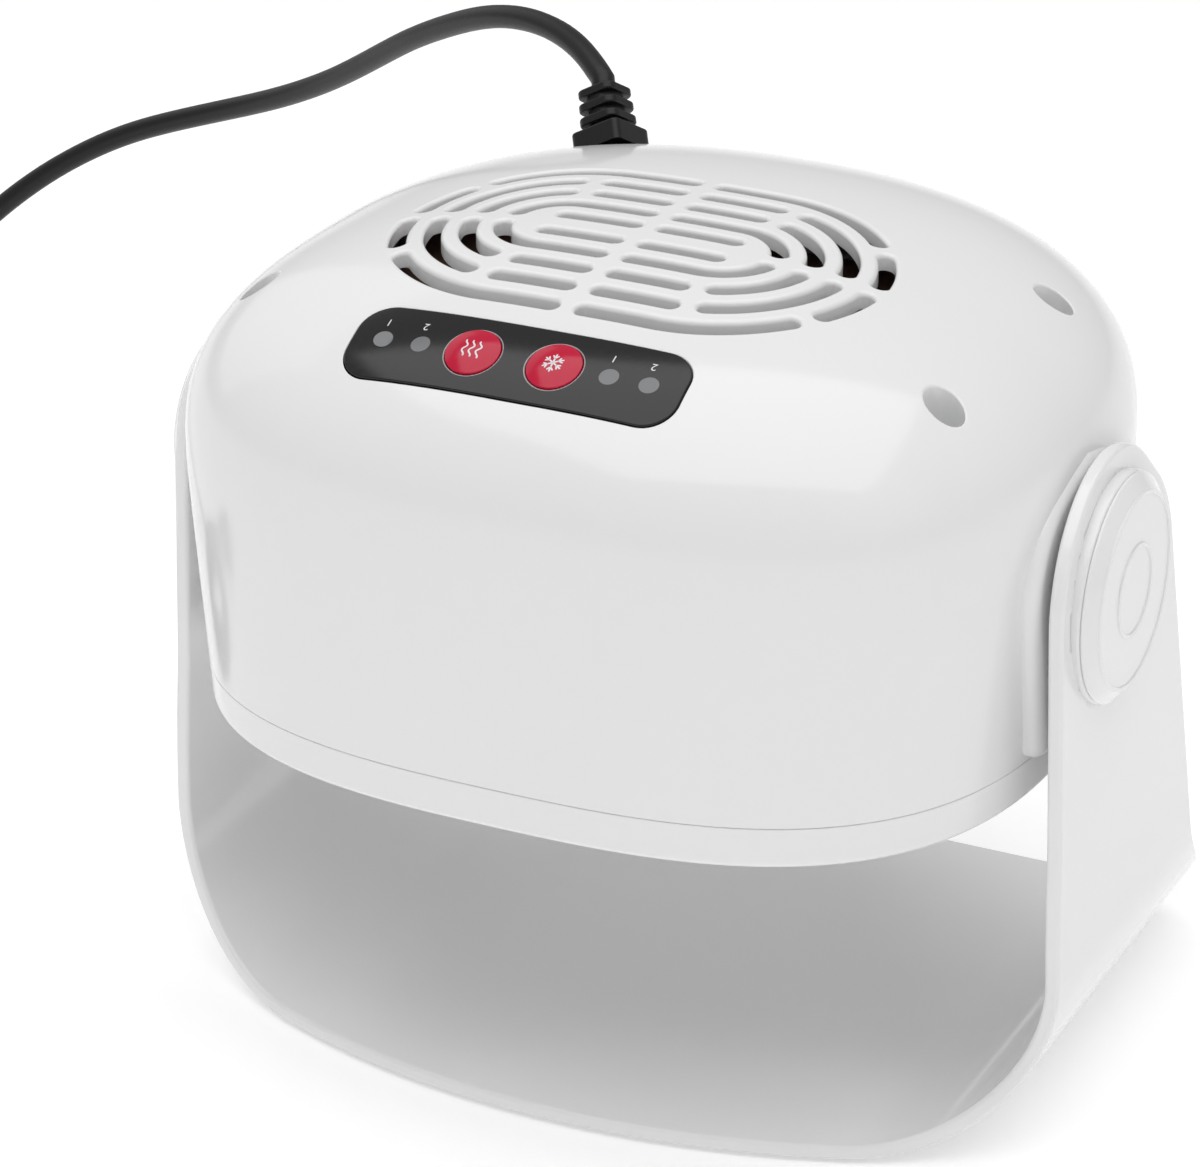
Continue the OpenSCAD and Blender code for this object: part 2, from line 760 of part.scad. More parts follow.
module bottom_cover() {
    color("white") place() difference() {
        union() {
            difference() {
                wall_slice(head_bottom, seam_z, 0);
                wall_slice(head_bottom + shell, seam_z + 1, shell);
            }
            difference() {
                wall_slice(seam_z - 3, seam_z + lip_h, shell + lip_gap);
                wall_slice(seam_z - 4, seam_z + lip_h + 1, shell + lip_gap + lip_wall);
            }
            wall_join();
            well_spots() translate([0, 0, head_bottom + shell - eps])
                cylinder(h = well_floor - well_web - post_gap - head_bottom - shell, r = post_r);
            deck_spots() translate([0, 0, head_bottom + shell - eps])
                cylinder(h = deck_z - head_bottom - shell + eps, r = post_r);
        }
        deck_spots() translate([0, 0, deck_z - 14]) cylinder(h = 15, r = deck_screw_r + screw_fit);
        well_spots() translate([0, 0, well_floor - 30]) cylinder(h = 30, r = case_screw_r + screw_fit);
        translate([0, vent_y, head_bottom - 1]) linear_extrude(shell + 2)
            stadium((outlet_l - outlet_w) / 2, outlet_w / 2);
        translate([0, vent_y, head_bottom + shell - 1]) linear_extrude(2)
            stadium((outlet_l - outlet_w) / 2, outlet_w / 2 + grille_lip);
    }
}

// The step that ties the locating lip to the cover's wall.
module wall_join() {
    difference() {
        wall_slice(seam_z - 3, seam_z - 0.6, shell / 2);
        wall_slice(seam_z - 4, seam_z, shell + lip_gap + lip_wall);
    }
}

module outlet_grille() {
    cols = floor(mesh_l / hole_pitch);
    rows = floor(mesh_w / (hole_pitch * 0.87));
    color("whitesmoke") place() translate([0, vent_y, 0]) difference() {
        union() {
            translate([0, 0, head_bottom + shell - 1]) linear_extrude(grille_t)
                stadium((outlet_l - outlet_w) / 2, outlet_w / 2 + grille_lip - grille_gap);
            translate([0, 0, head_bottom]) linear_extrude(shell)
                stadium((outlet_l - outlet_w) / 2, outlet_w / 2 - grille_gap);
        }
        translate([0, 0, head_bottom - 1]) linear_extrude(shell)
            stadium((outlet_l - outlet_w) / 2, outlet_w / 2 - 3);
        translate([0, 0, head_bottom - 1]) linear_extrude(shell + grille_t + 2)
            for (row = [-rows / 2:rows / 2], col = [-cols / 2:cols / 2]) {
                x = (col + (abs(row * 2) % 4 < 2 ? 0 : 0.5)) * hole_pitch;
                y = row * hole_pitch * 0.87;
                if (pow(x / (mesh_l / 2), 2) + pow(y / (mesh_w / 2), 2) <= 1)
                    translate([x, y]) rotate(30) circle(d = hole_d, $fn = 6);
            }
    }
}

module housing_screws() {
    color("silver") place() well_spots() difference() {
        union() {
            translate([0, 0, well_floor - 26]) cylinder(h = 26, r = case_screw_r);
            translate([0, 0, well_floor]) cylinder(h = screw_head_t, r = well_screw_head_r);
        }
        translate([0, 0, well_floor + screw_head_t])
            for (turn = [0, 90]) rotate(turn) cube([3.4, 0.8, 2], center = true);
    }
}

// ---------- Blower and heater ----------

module fan_spots() {
    for (sx = [-1, 1], sy = [-1, 1])
        translate([sx * fan_hole, vent_y + sy * fan_hole, 0]) children();
}

module fan_deck() {
    color("saddlebrown") place() difference() {
        translate([0, vent_y, deck_z]) linear_extrude(board_t) rounded_rect(deck_l, deck_w, deck_corner);
        translate([0, vent_y, deck_z - 1]) cylinder(h = board_t + 2, r = fan_r);
        fan_spots() translate([0, 0, deck_z - 1]) cylinder(h = board_t + 2, r = fan_screw_r);
        deck_spots() translate([0, 0, deck_z - 1]) cylinder(h = board_t + 2, r = deck_screw_r + 0.2);
        // The deck ends short of the housing screws; a longer one is notched round them.
        well_spots() translate([0, 0, deck_z - 1]) cylinder(h = board_t + 2, r = case_screw_r + screw_fit);
    }
}

module deck_screws() {
    color("silver") place() deck_spots() {
        translate([0, 0, deck_z - 12]) cylinder(h = 12 + board_t, r = deck_screw_r);
        translate([0, 0, deck_z + board_t]) cylinder(h = screw_head_t, r = 2 * deck_screw_r);
    }
}

module air_duct() {
    floor_z = head_bottom + shell - 1 + grille_t;
    color("silver") place() translate([0, vent_y, 0]) difference() {
        union() {
            translate([0, 0, floor_z]) cylinder(h = deck_z - floor_z, r = duct_r - duct_foot);
            translate([0, 0, floor_z]) cylinder(h = 1.2, r = duct_r);
            translate([0, 0, deck_z - 1.2]) cylinder(h = 1.2, r = duct_r);
        }
        translate([0, 0, floor_z - 1]) cylinder(h = deck_z, r = duct_r - duct_foot - duct_wall);
    }
}

// Radius of the heating spiral at a turn in degrees.
function heat_at(turn) = heat_inner + heat_pitch * turn / 360;

module heater_frame() {
    reach = duct_r - duct_foot - duct_wall;
    color("peru") place() translate([0, vent_y, coil_z]) difference() {
        union()
            for (turn = [0, 90]) rotate(turn)
                cube([2 * reach, mica_t, mica_h], center = true);
        for (quarter = [0:4 * heat_turns]) rotate(90 * quarter)
            translate([heat_at(90 * quarter) - heat_d / 2 - mica_gap, -2, -heat_d / 2 - mica_gap])
                cube([heat_d + 2 * mica_gap, 4, mica_h]);
    }
}

// A tube of radius r along points, with the given sides; flat ends.
module tube(points, r, sides) {
    n = len(points);
    dirs = [for (i = [0:n - 1]) let (a = points[max(i - 1, 0)], b = points[min(i + 1, n - 1)])
        (b - a) / norm(b - a)];
    rings = [for (i = [0:n - 1]) let (d = dirs[i], flat = norm([d[0], d[1]]),
            side = flat > 0.001 ? [-d[1], d[0], 0] / flat : [1, 0, 0], up = cross(d, side))
        for (k = [0:sides - 1]) points[i] + r * (cos(360 * k / sides) * side + sin(360 * k / sides) * up)];
    polyhedron(rings, concat(
        [[for (k = [0:sides - 1]) k]],
        [for (i = [0:n - 2], k = [0:sides - 1], t = [0, 1])
            let (a = i * sides, b = a + sides, j = (k + 1) % sides)
            t == 0 ? [a + k, b + k, b + j] : [a + k, b + j, a + j]],
        [[for (k = [0:sides - 1]) n * sides - 1 - k]]));
}

module heater_coil() {
    steps = heat_turns * heat_rings;
    color("darkgray") place() translate([0, vent_y, coil_z])
        tube([for (i = [0:steps]) let (turn = 360 * i / heat_rings)
            [heat_at(turn) * cos(turn), heat_at(turn) * sin(turn), 0]], heat_d / 2, coil_sides);
}

module thermal_cutoff() {
    color("ivory") place() translate([heat_inner / 2, vent_y + mica_t / 2, coil_z - 6]) {
        translate([0, 2.2, -4]) cylinder(h = 9, r = 2.2);
    }
}

module fan_frame() {
    top = fan_z + fan_h;
    color("#1c1c1e") place() difference() {
        union() {
            difference() {
                translate([0, vent_y, fan_z]) linear_extrude(fan_h) rounded_rect(fan_w, fan_w, 5);
                translate([0, vent_y, fan_z - 1]) cylinder(h = fan_h + 2, r = fan_r);
                translate([0, vent_y, fan_z + 4]) linear_extrude(fan_h - 8) difference() {
                    square(fan_w + 2, center = true);
                    circle(fan_r + 2);
                    for (turn = [45, 135]) rotate(turn) square([big, 12], center = true);
                }
            }
            translate([0, vent_y, fan_z]) {
                cylinder(h = strut_h, r = fan_hub_r);
                for (turn = [20:90:290]) rotate(turn)
                    translate([fan_hub_r - 1, -2, 0]) cube([fan_r - fan_hub_r + 2, 4, strut_h - 1]);
            }
        }
        translate([0, vent_y, fan_z - 1]) cylinder(h = strut_h + 2, r = shaft_r + run_gap);
        fan_spots() translate([0, 0, fan_z - 1]) cylinder(h = fan_h + 2, r = fan_screw_r + screw_fit);
    }
}

module fan_impeller() {
    low = fan_z + strut_h + 1;
    high = fan_z + fan_h - 1;
    color("#26272a") place() translate([0, vent_y, 0]) {
        translate([0, 0, low]) cylinder(h = high - low, r = fan_hub_r - 0.5);
        translate([0, 0, fan_z]) cylinder(h = low - fan_z + eps, r = shaft_r);
        intersection() {
            translate([0, 0, low + 1]) difference() {
                cylinder(h = high - low - 2, r = fan_r - tip_gap);
                translate([0, 0, -1]) cylinder(h = fan_h, r = fan_hub_r - 1.5);
            }
            for (i = [0:blades - 1]) rotate(360 * i / blades)
                translate([0, 0, (low + high) / 2]) rotate([52, 0, 0])
                    translate([0, -14, -0.9]) cube([fan_r, 28, 1.8]);
        }
    }
}

module fan_screws() {
    seat = fan_z + fan_h;
    color("silver") place() fan_spots() {
        translate([0, 0, deck_z]) cylinder(h = seat - deck_z, r = fan_screw_r - screw_fit);
        translate([0, 0, seat]) cylinder(h = screw_head_t, r = 2 * fan_screw_r);
    }
}

// ---------- Controls ----------

module control_panel() {
    color("#111214") place() difference() {
        panel_skin(0, -panel_proud, panel_t);
        panel_frame() {
            for (sx = [-1, 1]) translate([sx * button_pitch / 2, 0, -9])
                cylinder(h = 20, r = button_d / 2 + button_gap);
            lamp_spots() translate([0, 0, -9]) cylinder(h = 20, r = led_d / 2 + 0.1);
        }
    }
}

module push_button(x) {
    crown_r = (button_d * button_d / 4 + button_crown * button_crown) / (2 * button_crown);
    seat = -panel_t - seat_t - panel_sag - button_flange_gap;
    bottom = board_top + switch_h + button_travel;
    color("crimson") place() panel_frame() translate([x, 0, 0]) {
        intersection() {
            translate([0, 0, seat - button_flange_t]) cylinder(h = 10, r = button_d / 2);
            translate([0, 0, button_proud - crown_r]) sphere(crown_r, $fn = 128);
        }
        translate([0, 0, seat - button_flange_t])
            cylinder(h = button_flange_t, r = button_d / 2 + button_flange_w);
        translate([0, 0, bottom]) cylinder(h = seat - bottom, r = button_stem_r);
    }
}

module button_hot() {
    push_button(-button_pitch / 2);
}

module button_cool() {
    push_button(button_pitch / 2);
}

module control_board() {
    color("saddlebrown") place() panel_frame() difference() {
        translate([0, 0, board_top - board_t]) linear_extrude(board_t) rounded_rect(board_l, board_w, 3);
        board_spots() translate([0, 0, board_top - 5]) cylinder(h = 9, r = board_screw_r + 0.1);
    }
}

module tact_switches() {
    color("black") place() panel_frame()
        for (sx = [-1, 1]) translate([sx * button_pitch / 2, 0, board_top]) {
            translate([-switch_w / 2, -switch_w / 2, 0]) cube([switch_w, switch_w, switch_h - 0.6]);
            cylinder(h = switch_h, r = 1.7);
        }
}

module status_leds() {
    color("lightgray") place() panel_frame() lamp_spots() {
        translate([0, 0, board_top]) cylinder(h = -board_top - led_sink, r = led_d / 2);
        translate([0, 0, board_top]) cylinder(h = 1, r = led_d / 2 + 0.5);
    }
}

module board_screws() {
    color("silver") place() panel_frame() board_spots() {
        translate([0, 0, board_top - board_t]) cylinder(h = board_t + 5, r = board_screw_r - screw_fit);
        translate([0, 0, board_top - board_t - 1.4]) cylinder(h = 1.4, r = 2 * board_screw_r);
    }
}

// ---------- Mains lead ----------

module cord_gland() {
    tier = (gland_l - 4.5) / gland_tiers;
    color("#18181a") place() gland_frame() difference() {
        union() {
            translate([0, 0, -gland_seat_t]) linear_extrude(4.5 + gland_seat_t)
                rounded_rect(gland_flange, gland_flange, 1.5);
            translate([0, 0, -gland_tail]) cylinder(h = gland_tail, r = gland_r);
            for (i = [0:gland_tiers - 1]) translate([0, 0, 4.5 + i * tier]) {
                cylinder(h = tier, r = gland_r - 1.9);
                translate([0, 0, tier * 0.4]) cylinder(h = tier * 0.6, r = gland_r - 0.25 * i);
            }
        }
        translate([0, 0, -gland_tail - 1]) cylinder(h = gland_l + gland_tail + 2, r = cord_d / 2 + screw_fit);
    }
}

module gland_nut() {
    color("#18181a") place() gland_frame() difference() {
        translate([0, 0, -gland_boss_t - nut_t]) cylinder(h = nut_t, r = gland_r + 3.4, $fn = 6);
        translate([0, 0, -gland_boss_t - nut_t - 1]) cylinder(h = nut_t + 2, r = gland_r + screw_fit);
    }
}

module inner_lead() {
    block_face = block_y + block_size[1] / 2;
    color("#18181a") place()
        tube([gland_tip, gland_foot, gland_foot - 16 * gland_axis,
            [-47, 60, 181], [-52, 49, 175], [-60, 36, 173],
            [block_x, block_face + 6, fan_z + block_size[2] / 2],
            [block_x, block_face, fan_z + block_size[2] / 2]], cord_d / 2, tube_sides);
}

module terminal_block() {
    pitch = block_size[0] / 3;
    color("ivory") place() translate([block_x, block_y, fan_z]) difference() {
        translate([-block_size[0] / 2, -block_size[1] / 2, 0]) cube(block_size);
        for (i = [-1, 1]) translate([i * pitch / 2, 0, 6]) cylinder(h = block_size[2], r = 2.2);
        for (i = [-1, 1]) translate([i * block_size[0] / 2, 0, 8]) cube([5, 30, 8], center = true);
    }
}

module harness() {
    start = [block_x, block_y - block_size[1] / 2, fan_z + 5];
    color("dimgray") place() tube(concat(
        [start, start - [0, 8, 0], [-65, -26, 172], [-61, -46, 175], [-50, -58, 179]],
        [for (drop = [8, 0]) [panel_x - 30, panel_y, panel_z]
            + (board_top - board_t - drop) * [0, -sin(panel_slope), cos(panel_slope)]]),
        harness_d / 2, 8);
}

module cord_lead() {
    color("#18181a") place() tube(lead_route, cord_d / 2, tube_sides);
}

module cord_coil() {
    color("#18181a") place() tube(coil_route, cord_d / 2, coil_sides);
}

// A flat band around the turns of the coil, on the side away from its ends.
module cord_tie() {
    low_x = sqrt(coil_in * coil_in - tie_w * tie_w / 4) - cord_d / 2 - tie_gap;
    high_x = coil_r(180) + cord_d / 2 + tie_gap;
    inner_l = high_x - low_x;
    inner_h = coil_pitch + cord_d + 2 * tie_gap;
    mid = [(low_x + high_x) / 2, lead_end[2] + coil_pitch / 2];
    color("#202022") place() translate([coil_x, coil_y + tie_w / 2, 0]) rotate([90, 0, 0])
        linear_extrude(tie_w) translate(mid) difference() {
            rounded_rect(inner_l + 2 * tie_t, inner_h + 2 * tie_t, 3);
            rounded_rect(inner_l, inner_h, 2);
        }
}

module plug_frame() {
    translate(plug_at) rotate([90, 0, 0]) children();
}

module blade_spots() {
    for (sx = [-1, 1]) translate([sx * blade_pitch / 2, 0, relief_l + plug_l - blade_root]) children();
}

module plug_body() {
    color("#18181a") place() plug_frame() difference() {
        union() {
            cylinder(h = relief_l, r1 = relief_r, r2 = relief_r + 2.4);
            hull() {
                translate([0, 0, relief_l - 1]) cylinder(h = 1, r = relief_r + 3.4, $fn = 32);
                translate([0, 0, relief_l + 9]) linear_extrude(plug_l - 9)
                    rounded_rect(plug_w, plug_h, 5, $fn = 32);
            }
        }
        for (i = [0:3]) translate([0, 0, 3 + 4.4 * i]) difference() {
            cylinder(h = 1.8, r = plug_w);
            translate([0, 0, -1]) cylinder(h = 4, r = relief_r - 0.6);
        }
        blade_spots() translate([-blade_t / 2, -blade_w / 2, 0]) cube([blade_t, blade_w, blade_root + 1]);
    }
}

module plug_pins() {
    color("silver") place() plug_frame() blade_spots() difference() {
        translate([-blade_t / 2, -blade_w / 2, 0]) cube([blade_t, blade_w, blade_root + blade_l]);
        translate([-blade_t, 0, blade_root + blade_l - 3.2]) rotate([0, 90, 0])
            cylinder(h = 2 * blade_t, r = 1.4);
    }
}

base_cradle();
rubber_feet();
pivot_cap_left();
pivot_cap_right();
pivot_hubs();
pivot_washers();
pivot_screws();
friction_washers();
top_housing();
bottom_cover();
outlet_grille();
housing_screws();
fan_deck();
air_duct();
heater_frame();
heater_coil();
thermal_cutoff();
fan_frame();
fan_impeller();
fan_screws();
control_board();
tact_switches();
status_leds();
board_screws();
control_panel();
button_hot();
button_cool();
cord_gland();
gland_nut();
inner_lead();
terminal_block();
harness();
deck_screws();
cord_lead();
cord_coil();
cord_tie();
plug_body();
plug_pins();
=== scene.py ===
"""A nail polish fan dryer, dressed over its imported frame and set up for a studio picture.

Lengths in the classes are millimetres about the tilt axis' place in plan, as
in the part's source; place_points() moves them to the frame, in metres.
"""

import logging
import math
from dataclasses import dataclass, field
from enum import Enum
from typing import Callable, Iterable, Optional, Sequence

import bpy
import numpy as np
from bpy.types import Material, Mesh, NodeTree, Object
from mathutils import Matrix, Vector, geometry


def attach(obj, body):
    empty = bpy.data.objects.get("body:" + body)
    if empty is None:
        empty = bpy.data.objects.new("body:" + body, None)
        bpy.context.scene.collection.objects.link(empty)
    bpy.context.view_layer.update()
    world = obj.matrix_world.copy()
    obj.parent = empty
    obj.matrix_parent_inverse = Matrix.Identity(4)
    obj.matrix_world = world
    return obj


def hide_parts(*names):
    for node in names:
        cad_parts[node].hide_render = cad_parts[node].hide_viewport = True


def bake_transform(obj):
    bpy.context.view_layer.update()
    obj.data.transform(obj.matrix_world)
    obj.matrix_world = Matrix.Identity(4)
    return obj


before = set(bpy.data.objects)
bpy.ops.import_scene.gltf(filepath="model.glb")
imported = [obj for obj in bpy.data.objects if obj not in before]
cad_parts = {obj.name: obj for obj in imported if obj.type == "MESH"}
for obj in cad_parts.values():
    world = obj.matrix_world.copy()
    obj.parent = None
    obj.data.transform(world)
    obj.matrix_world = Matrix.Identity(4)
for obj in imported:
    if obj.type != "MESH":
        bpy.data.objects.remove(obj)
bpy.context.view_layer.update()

MM = 0.001
PIVOT_Y = -9.5
LOG = logging.getLogger("fan_dryer")


# ---------- Small helpers ----------


def linear(code: str) -> tuple[float, float, float, float]:
    """Turns an sRGB hex colour into linear RGBA.

    Args:
        code: Colour such as "#f4f5f6".

    Returns:
        The linear colour with alpha 1.
    """
    parts = [int(code[i : i + 2], 16) / 255 for i in (1, 3, 5)]
    flat = [c / 12.92 if c <= 0.04045 else ((c + 0.055) / 1.055) ** 2.4 for c in parts]
    return (flat[0], flat[1], flat[2], 1.0)


def place_points(points: np.ndarray) -> np.ndarray:
    """Moves points from the pivot's place in plan to the frame.

    Args:
        points: Rows of x, y, z in millimetres.

    Returns:
        The same rows in the frame, in metres.
    """
    return (np.asarray(points, float) + np.array([0.0, PIVOT_Y, 0.0])) * MM


def add_node(
    tree: NodeTree,
    kind: str,
    settings: Optional[dict] = None,
    links: Optional[dict] = None,
) -> bpy.types.Node:
    """Adds one node, sets it up and links its inputs.

    Args:
        tree: Node tree that gets the node.
        kind: The node's bl_idname.
        settings: Attributes by name, or input values by name or index.
        links: Output sockets by the name or index of the input they feed.

    Returns:
        The new node.
    """
    made = tree.nodes.new(kind)
    for key, value in (settings or {}).items():
        if isinstance(key, str) and hasattr(made, key):
            setattr(made, key, value)
        else:
            made.inputs[key].default_value = value
    for key, socket in (links or {}).items():
        tree.links.new(socket, made.inputs[key])
    return made


def link(piece: Object) -> None:
    """Puts an object into the scene."""
    bpy.context.scene.collection.objects.link(piece)


def evaluated_mesh(piece: Object) -> Mesh:
    """Makes a plain mesh of what an object's curves or modifiers give.

    Args:
        piece: The object, linked to the scene.

    Returns:
        The new mesh.
    """
    bpy.context.view_layer.update()
    graph = bpy.context.evaluated_depsgraph_get()
    return bpy.data.meshes.new_from_object(piece.evaluated_get(graph), depsgraph=graph)


def unit(vectors: np.ndarray) -> np.ndarray:
    """Scales each row to length one."""
    size = np.linalg.norm(vectors, axis=-1, keepdims=True)
    return vectors / np.maximum(size, 1e-12)


def circle(centre: Sequence[float], radius: float, count: int) -> np.ndarray:
    """Points of a circle in plan, counted against the clock."""
    turn = np.linspace(0, 2 * math.pi, count, endpoint=False)
    return np.stack([centre[0] + radius * np.cos(turn), centre[1] + radius * np.sin(turn)], 1)


def resample(points: np.ndarray, step: float, closed: bool = False) -> np.ndarray:
    """Spaces the points of a line evenly.

    Args:
        points: Rows of a polyline in any number of dimensions.
        step: Wanted spacing.
        closed: Whether the last point joins the first.

    Returns:
        Evenly spaced rows; a closed line's first point isn't repeated.
    """
    line = np.vstack([points, points[:1]]) if closed else points
    along = np.concatenate([[0], np.cumsum(np.linalg.norm(np.diff(line, axis=0), axis=1))])
    count = max(int(round(along[-1] / step)), 3 if closed else 1)
    spots = np.linspace(0, along[-1], count + 1)
    if closed:
        spots = spots[:-1]
    return np.stack([np.interp(spots, along, line[:, k]) for k in range(line.shape[1])], 1)


def rounded_rect(length: float, width: float, radius: float, step: float) -> np.ndarray:
    """Outline of a rounded rectangle about the origin, evenly spaced.

    Args:
        length: Its length along x.
        width: Its width along y.
        radius: Radius of its corners.
        step: Wanted spacing of the points.

    Returns:
        Points of the closed outline, against the clock.
    """
    corners = []
    for k, (sx, sy) in enumerate([(1, 1), (-1, 1), (-1, -1), (1, -1)]):
        turn = np.linspace(k * math.pi / 2, (k + 1) * math.pi / 2, 24)
        centre = np.array([sx * (length / 2 - radius), sy * (width / 2 - radius)])
        corners.append(centre + radius * np.stack([np.cos(turn), np.sin(turn)], 1))
    return resample(np.vstack(corners), step, closed=True)


# ---------- Mesh building ----------


@dataclass
class Shape:
    """Faces under construction, with a normal at every corner."""

    points: list = field(default_factory=list)
    faces: list = field(default_factory=list)
    normals: list = field(default_factory=list)
    slots: list = field(default_factory=list)

    def add_points(self, rows: np.ndarray) -> np.ndarray:
        """Adds points and returns their numbers."""
        start = len(self.points)
        self.points.extend(np.asarray(rows, float).tolist())
        return np.arange(start, start + len(rows))

    def add_face(self, corners: Sequence[int], normals: Sequence, slot: int = 0) -> None:
        """Adds one face with the normal of each corner."""
        self.faces.append([int(c) for c in corners])
        self.normals.extend([tuple(float(v) for v in n) for n in normals])
        self.slots.append(slot)

    def add_strip(self, a: np.ndarray, b: np.ndarray, na: np.ndarray, nb: np.ndarray) -> None:
        """Joins two equal rings of points with quads.

        Args:
            a: Numbers of the first ring.
            b: Numbers of the second ring, which lies to its left when seen from outside.
            na: Normals of the first ring.
            nb: Normals of the second ring.
        """
        for i in range(len(a)):
            j = (i + 1) % len(a)
            self.add_face([a[i], a[j], b[j], b[i]], [na[i], na[j], nb[j], nb[i]])

    def add_cap(self, ring: np.ndarray, middle: Sequence, normal: Sequence, turned: bool) -> None:
        """Closes a ring of points with a fan of flat faces.

        Args:
            ring: Point numbers round the ring.
            middle: Its middle.
            normal: Normal of the faces.
            turned: Whether the faces run against the ring.
        """
        centre = self.add_points(np.array([middle], float))[0]
        for a, b in zip(ring, np.roll(ring, -1)):
            self.add_face([b, a, centre] if turned else [a, b, centre], [normal] * 3)

    def to_object(self, name: str, materials: Sequence[Material]) -> Object:
        """Makes the mesh object, in the frame.

        Args:
            name: Name of the object.
            materials: Material of each slot.

        Returns:
            The linked object, at the origin.
        """
        mesh = bpy.data.meshes.new(name)
        mesh.from_pydata(place_points(np.array(self.points)).tolist(), [], self.faces)
        for material in materials:
            mesh.materials.append(material)
        mesh.polygons.foreach_set("material_index", self.slots)
        mesh.polygons.foreach_set("use_smooth", [True] * len(self.faces))
        mesh.update()
        mesh.normals_split_custom_set(self.normals)
        made = bpy.data.objects.new(name, mesh)
        link(made)
        return made


@dataclass
class Edge:
    """A rounded edge in a plate: a hole, or the plate's own rim.

    A hole is everything within radius of its path; a path of one point is a
    round hole. A closed path with radius 0 encloses the hole or the plate.
    """

    path: np.ndarray
    fillet: float
    radius: float = 0.0
    closed: bool = False
    rim: bool = False
    back_fillet: float = 0.0

    def outline(self, away: float, step: float) -> np.ndarray:
        """The line at a distance from the edge, inside the material.

        Args:
            away: Distance from the edge.
            step: Spacing of the points along a round hole.

        Returns:
            Points of a closed line, against the clock.
        """
        if len(self.path) == 1:
            count = max(16, int(2 * math.pi * self.radius / step))
            return circle(self.path[0], self.radius + away, count)
        if self.closed:
            ahead = np.roll(self.path, -1, 0) - np.roll(self.path, 1, 0)
            left = unit(np.stack([-ahead[:, 1], ahead[:, 0]], 1))
            return self.path + left * (away if self.rim else -away)
        ahead = unit(np.gradient(self.path, axis=0))
        left = np.stack([-ahead[:, 1], ahead[:, 0]], 1)
        reach = self.radius + away
        turn = np.linspace(0, math.pi, 13)[1:-1, None]
        tip = self.path[-1] + reach * (ahead[-1] * np.sin(turn) - left[-1] * np.cos(turn))
        tail = self.path[0] + reach * (left[0] * np.cos(turn) - ahead[0] * np.sin(turn))
        return np.vstack([self.path - reach * left, tip, (self.path + reach * left)[::-1], tail])

    def distance(self, spots: np.ndarray) -> tuple[np.ndarray, np.ndarray]:
        """Distance of points from the edge, and the direction it grows in.

        Args:
            spots: Rows of u, v.

        Returns:
            Distances, and unit rows that point away from the edge.
        """
        far = np.full(len(spots), 1e3)
        away = np.zeros((len(spots), 2))
        low, high = self.path.min(0), self.path.max(0)
        margin = self.radius + self.fillet + 4
        near = np.all((spots > low - margin) & (spots < high + margin), axis=1)
        if self.rim:
            near[:] = True
        index = np.nonzero(near)[0]
        start = self.path
        end = np.roll(start, -1, 0) if self.closed else start
        if not self.closed and len(start) > 1:
            start, end = start[:-1], start[1:]
        run = end - start
        size = np.maximum((run**2).sum(1), 1e-12)
        square = unit(np.stack([-run[:, 1], run[:, 0]], 1))
        corner = unit(square + np.roll(square, 1, 0)) * (1 if self.rim else -1)
        for part in np.array_split(index, max(1, len(index) // 1500)):
            gap = spots[part][:, None] - start[None]
            share = np.clip((gap * run[None]).sum(2) / size[None], 0, 1)
            gap = gap - share[..., None] * run[None]
            length = np.linalg.norm(gap, axis=2)
            best = length.argmin(1)
            rows = np.arange(len(part))
            nearest = length[rows, best]
            far[part] = nearest - self.radius
            away[part] = gap[rows, best] / np.maximum(nearest, 1e-9)[:, None]
            if self.closed:
                on_line = nearest < 1e-4
                k, t = best[on_line], share[rows, best][on_line][:, None]
                away[part[on_line]] = unit(corner[k] * (1 - t) + corner[(k + 1) % len(corner)] * t)
        return far, away


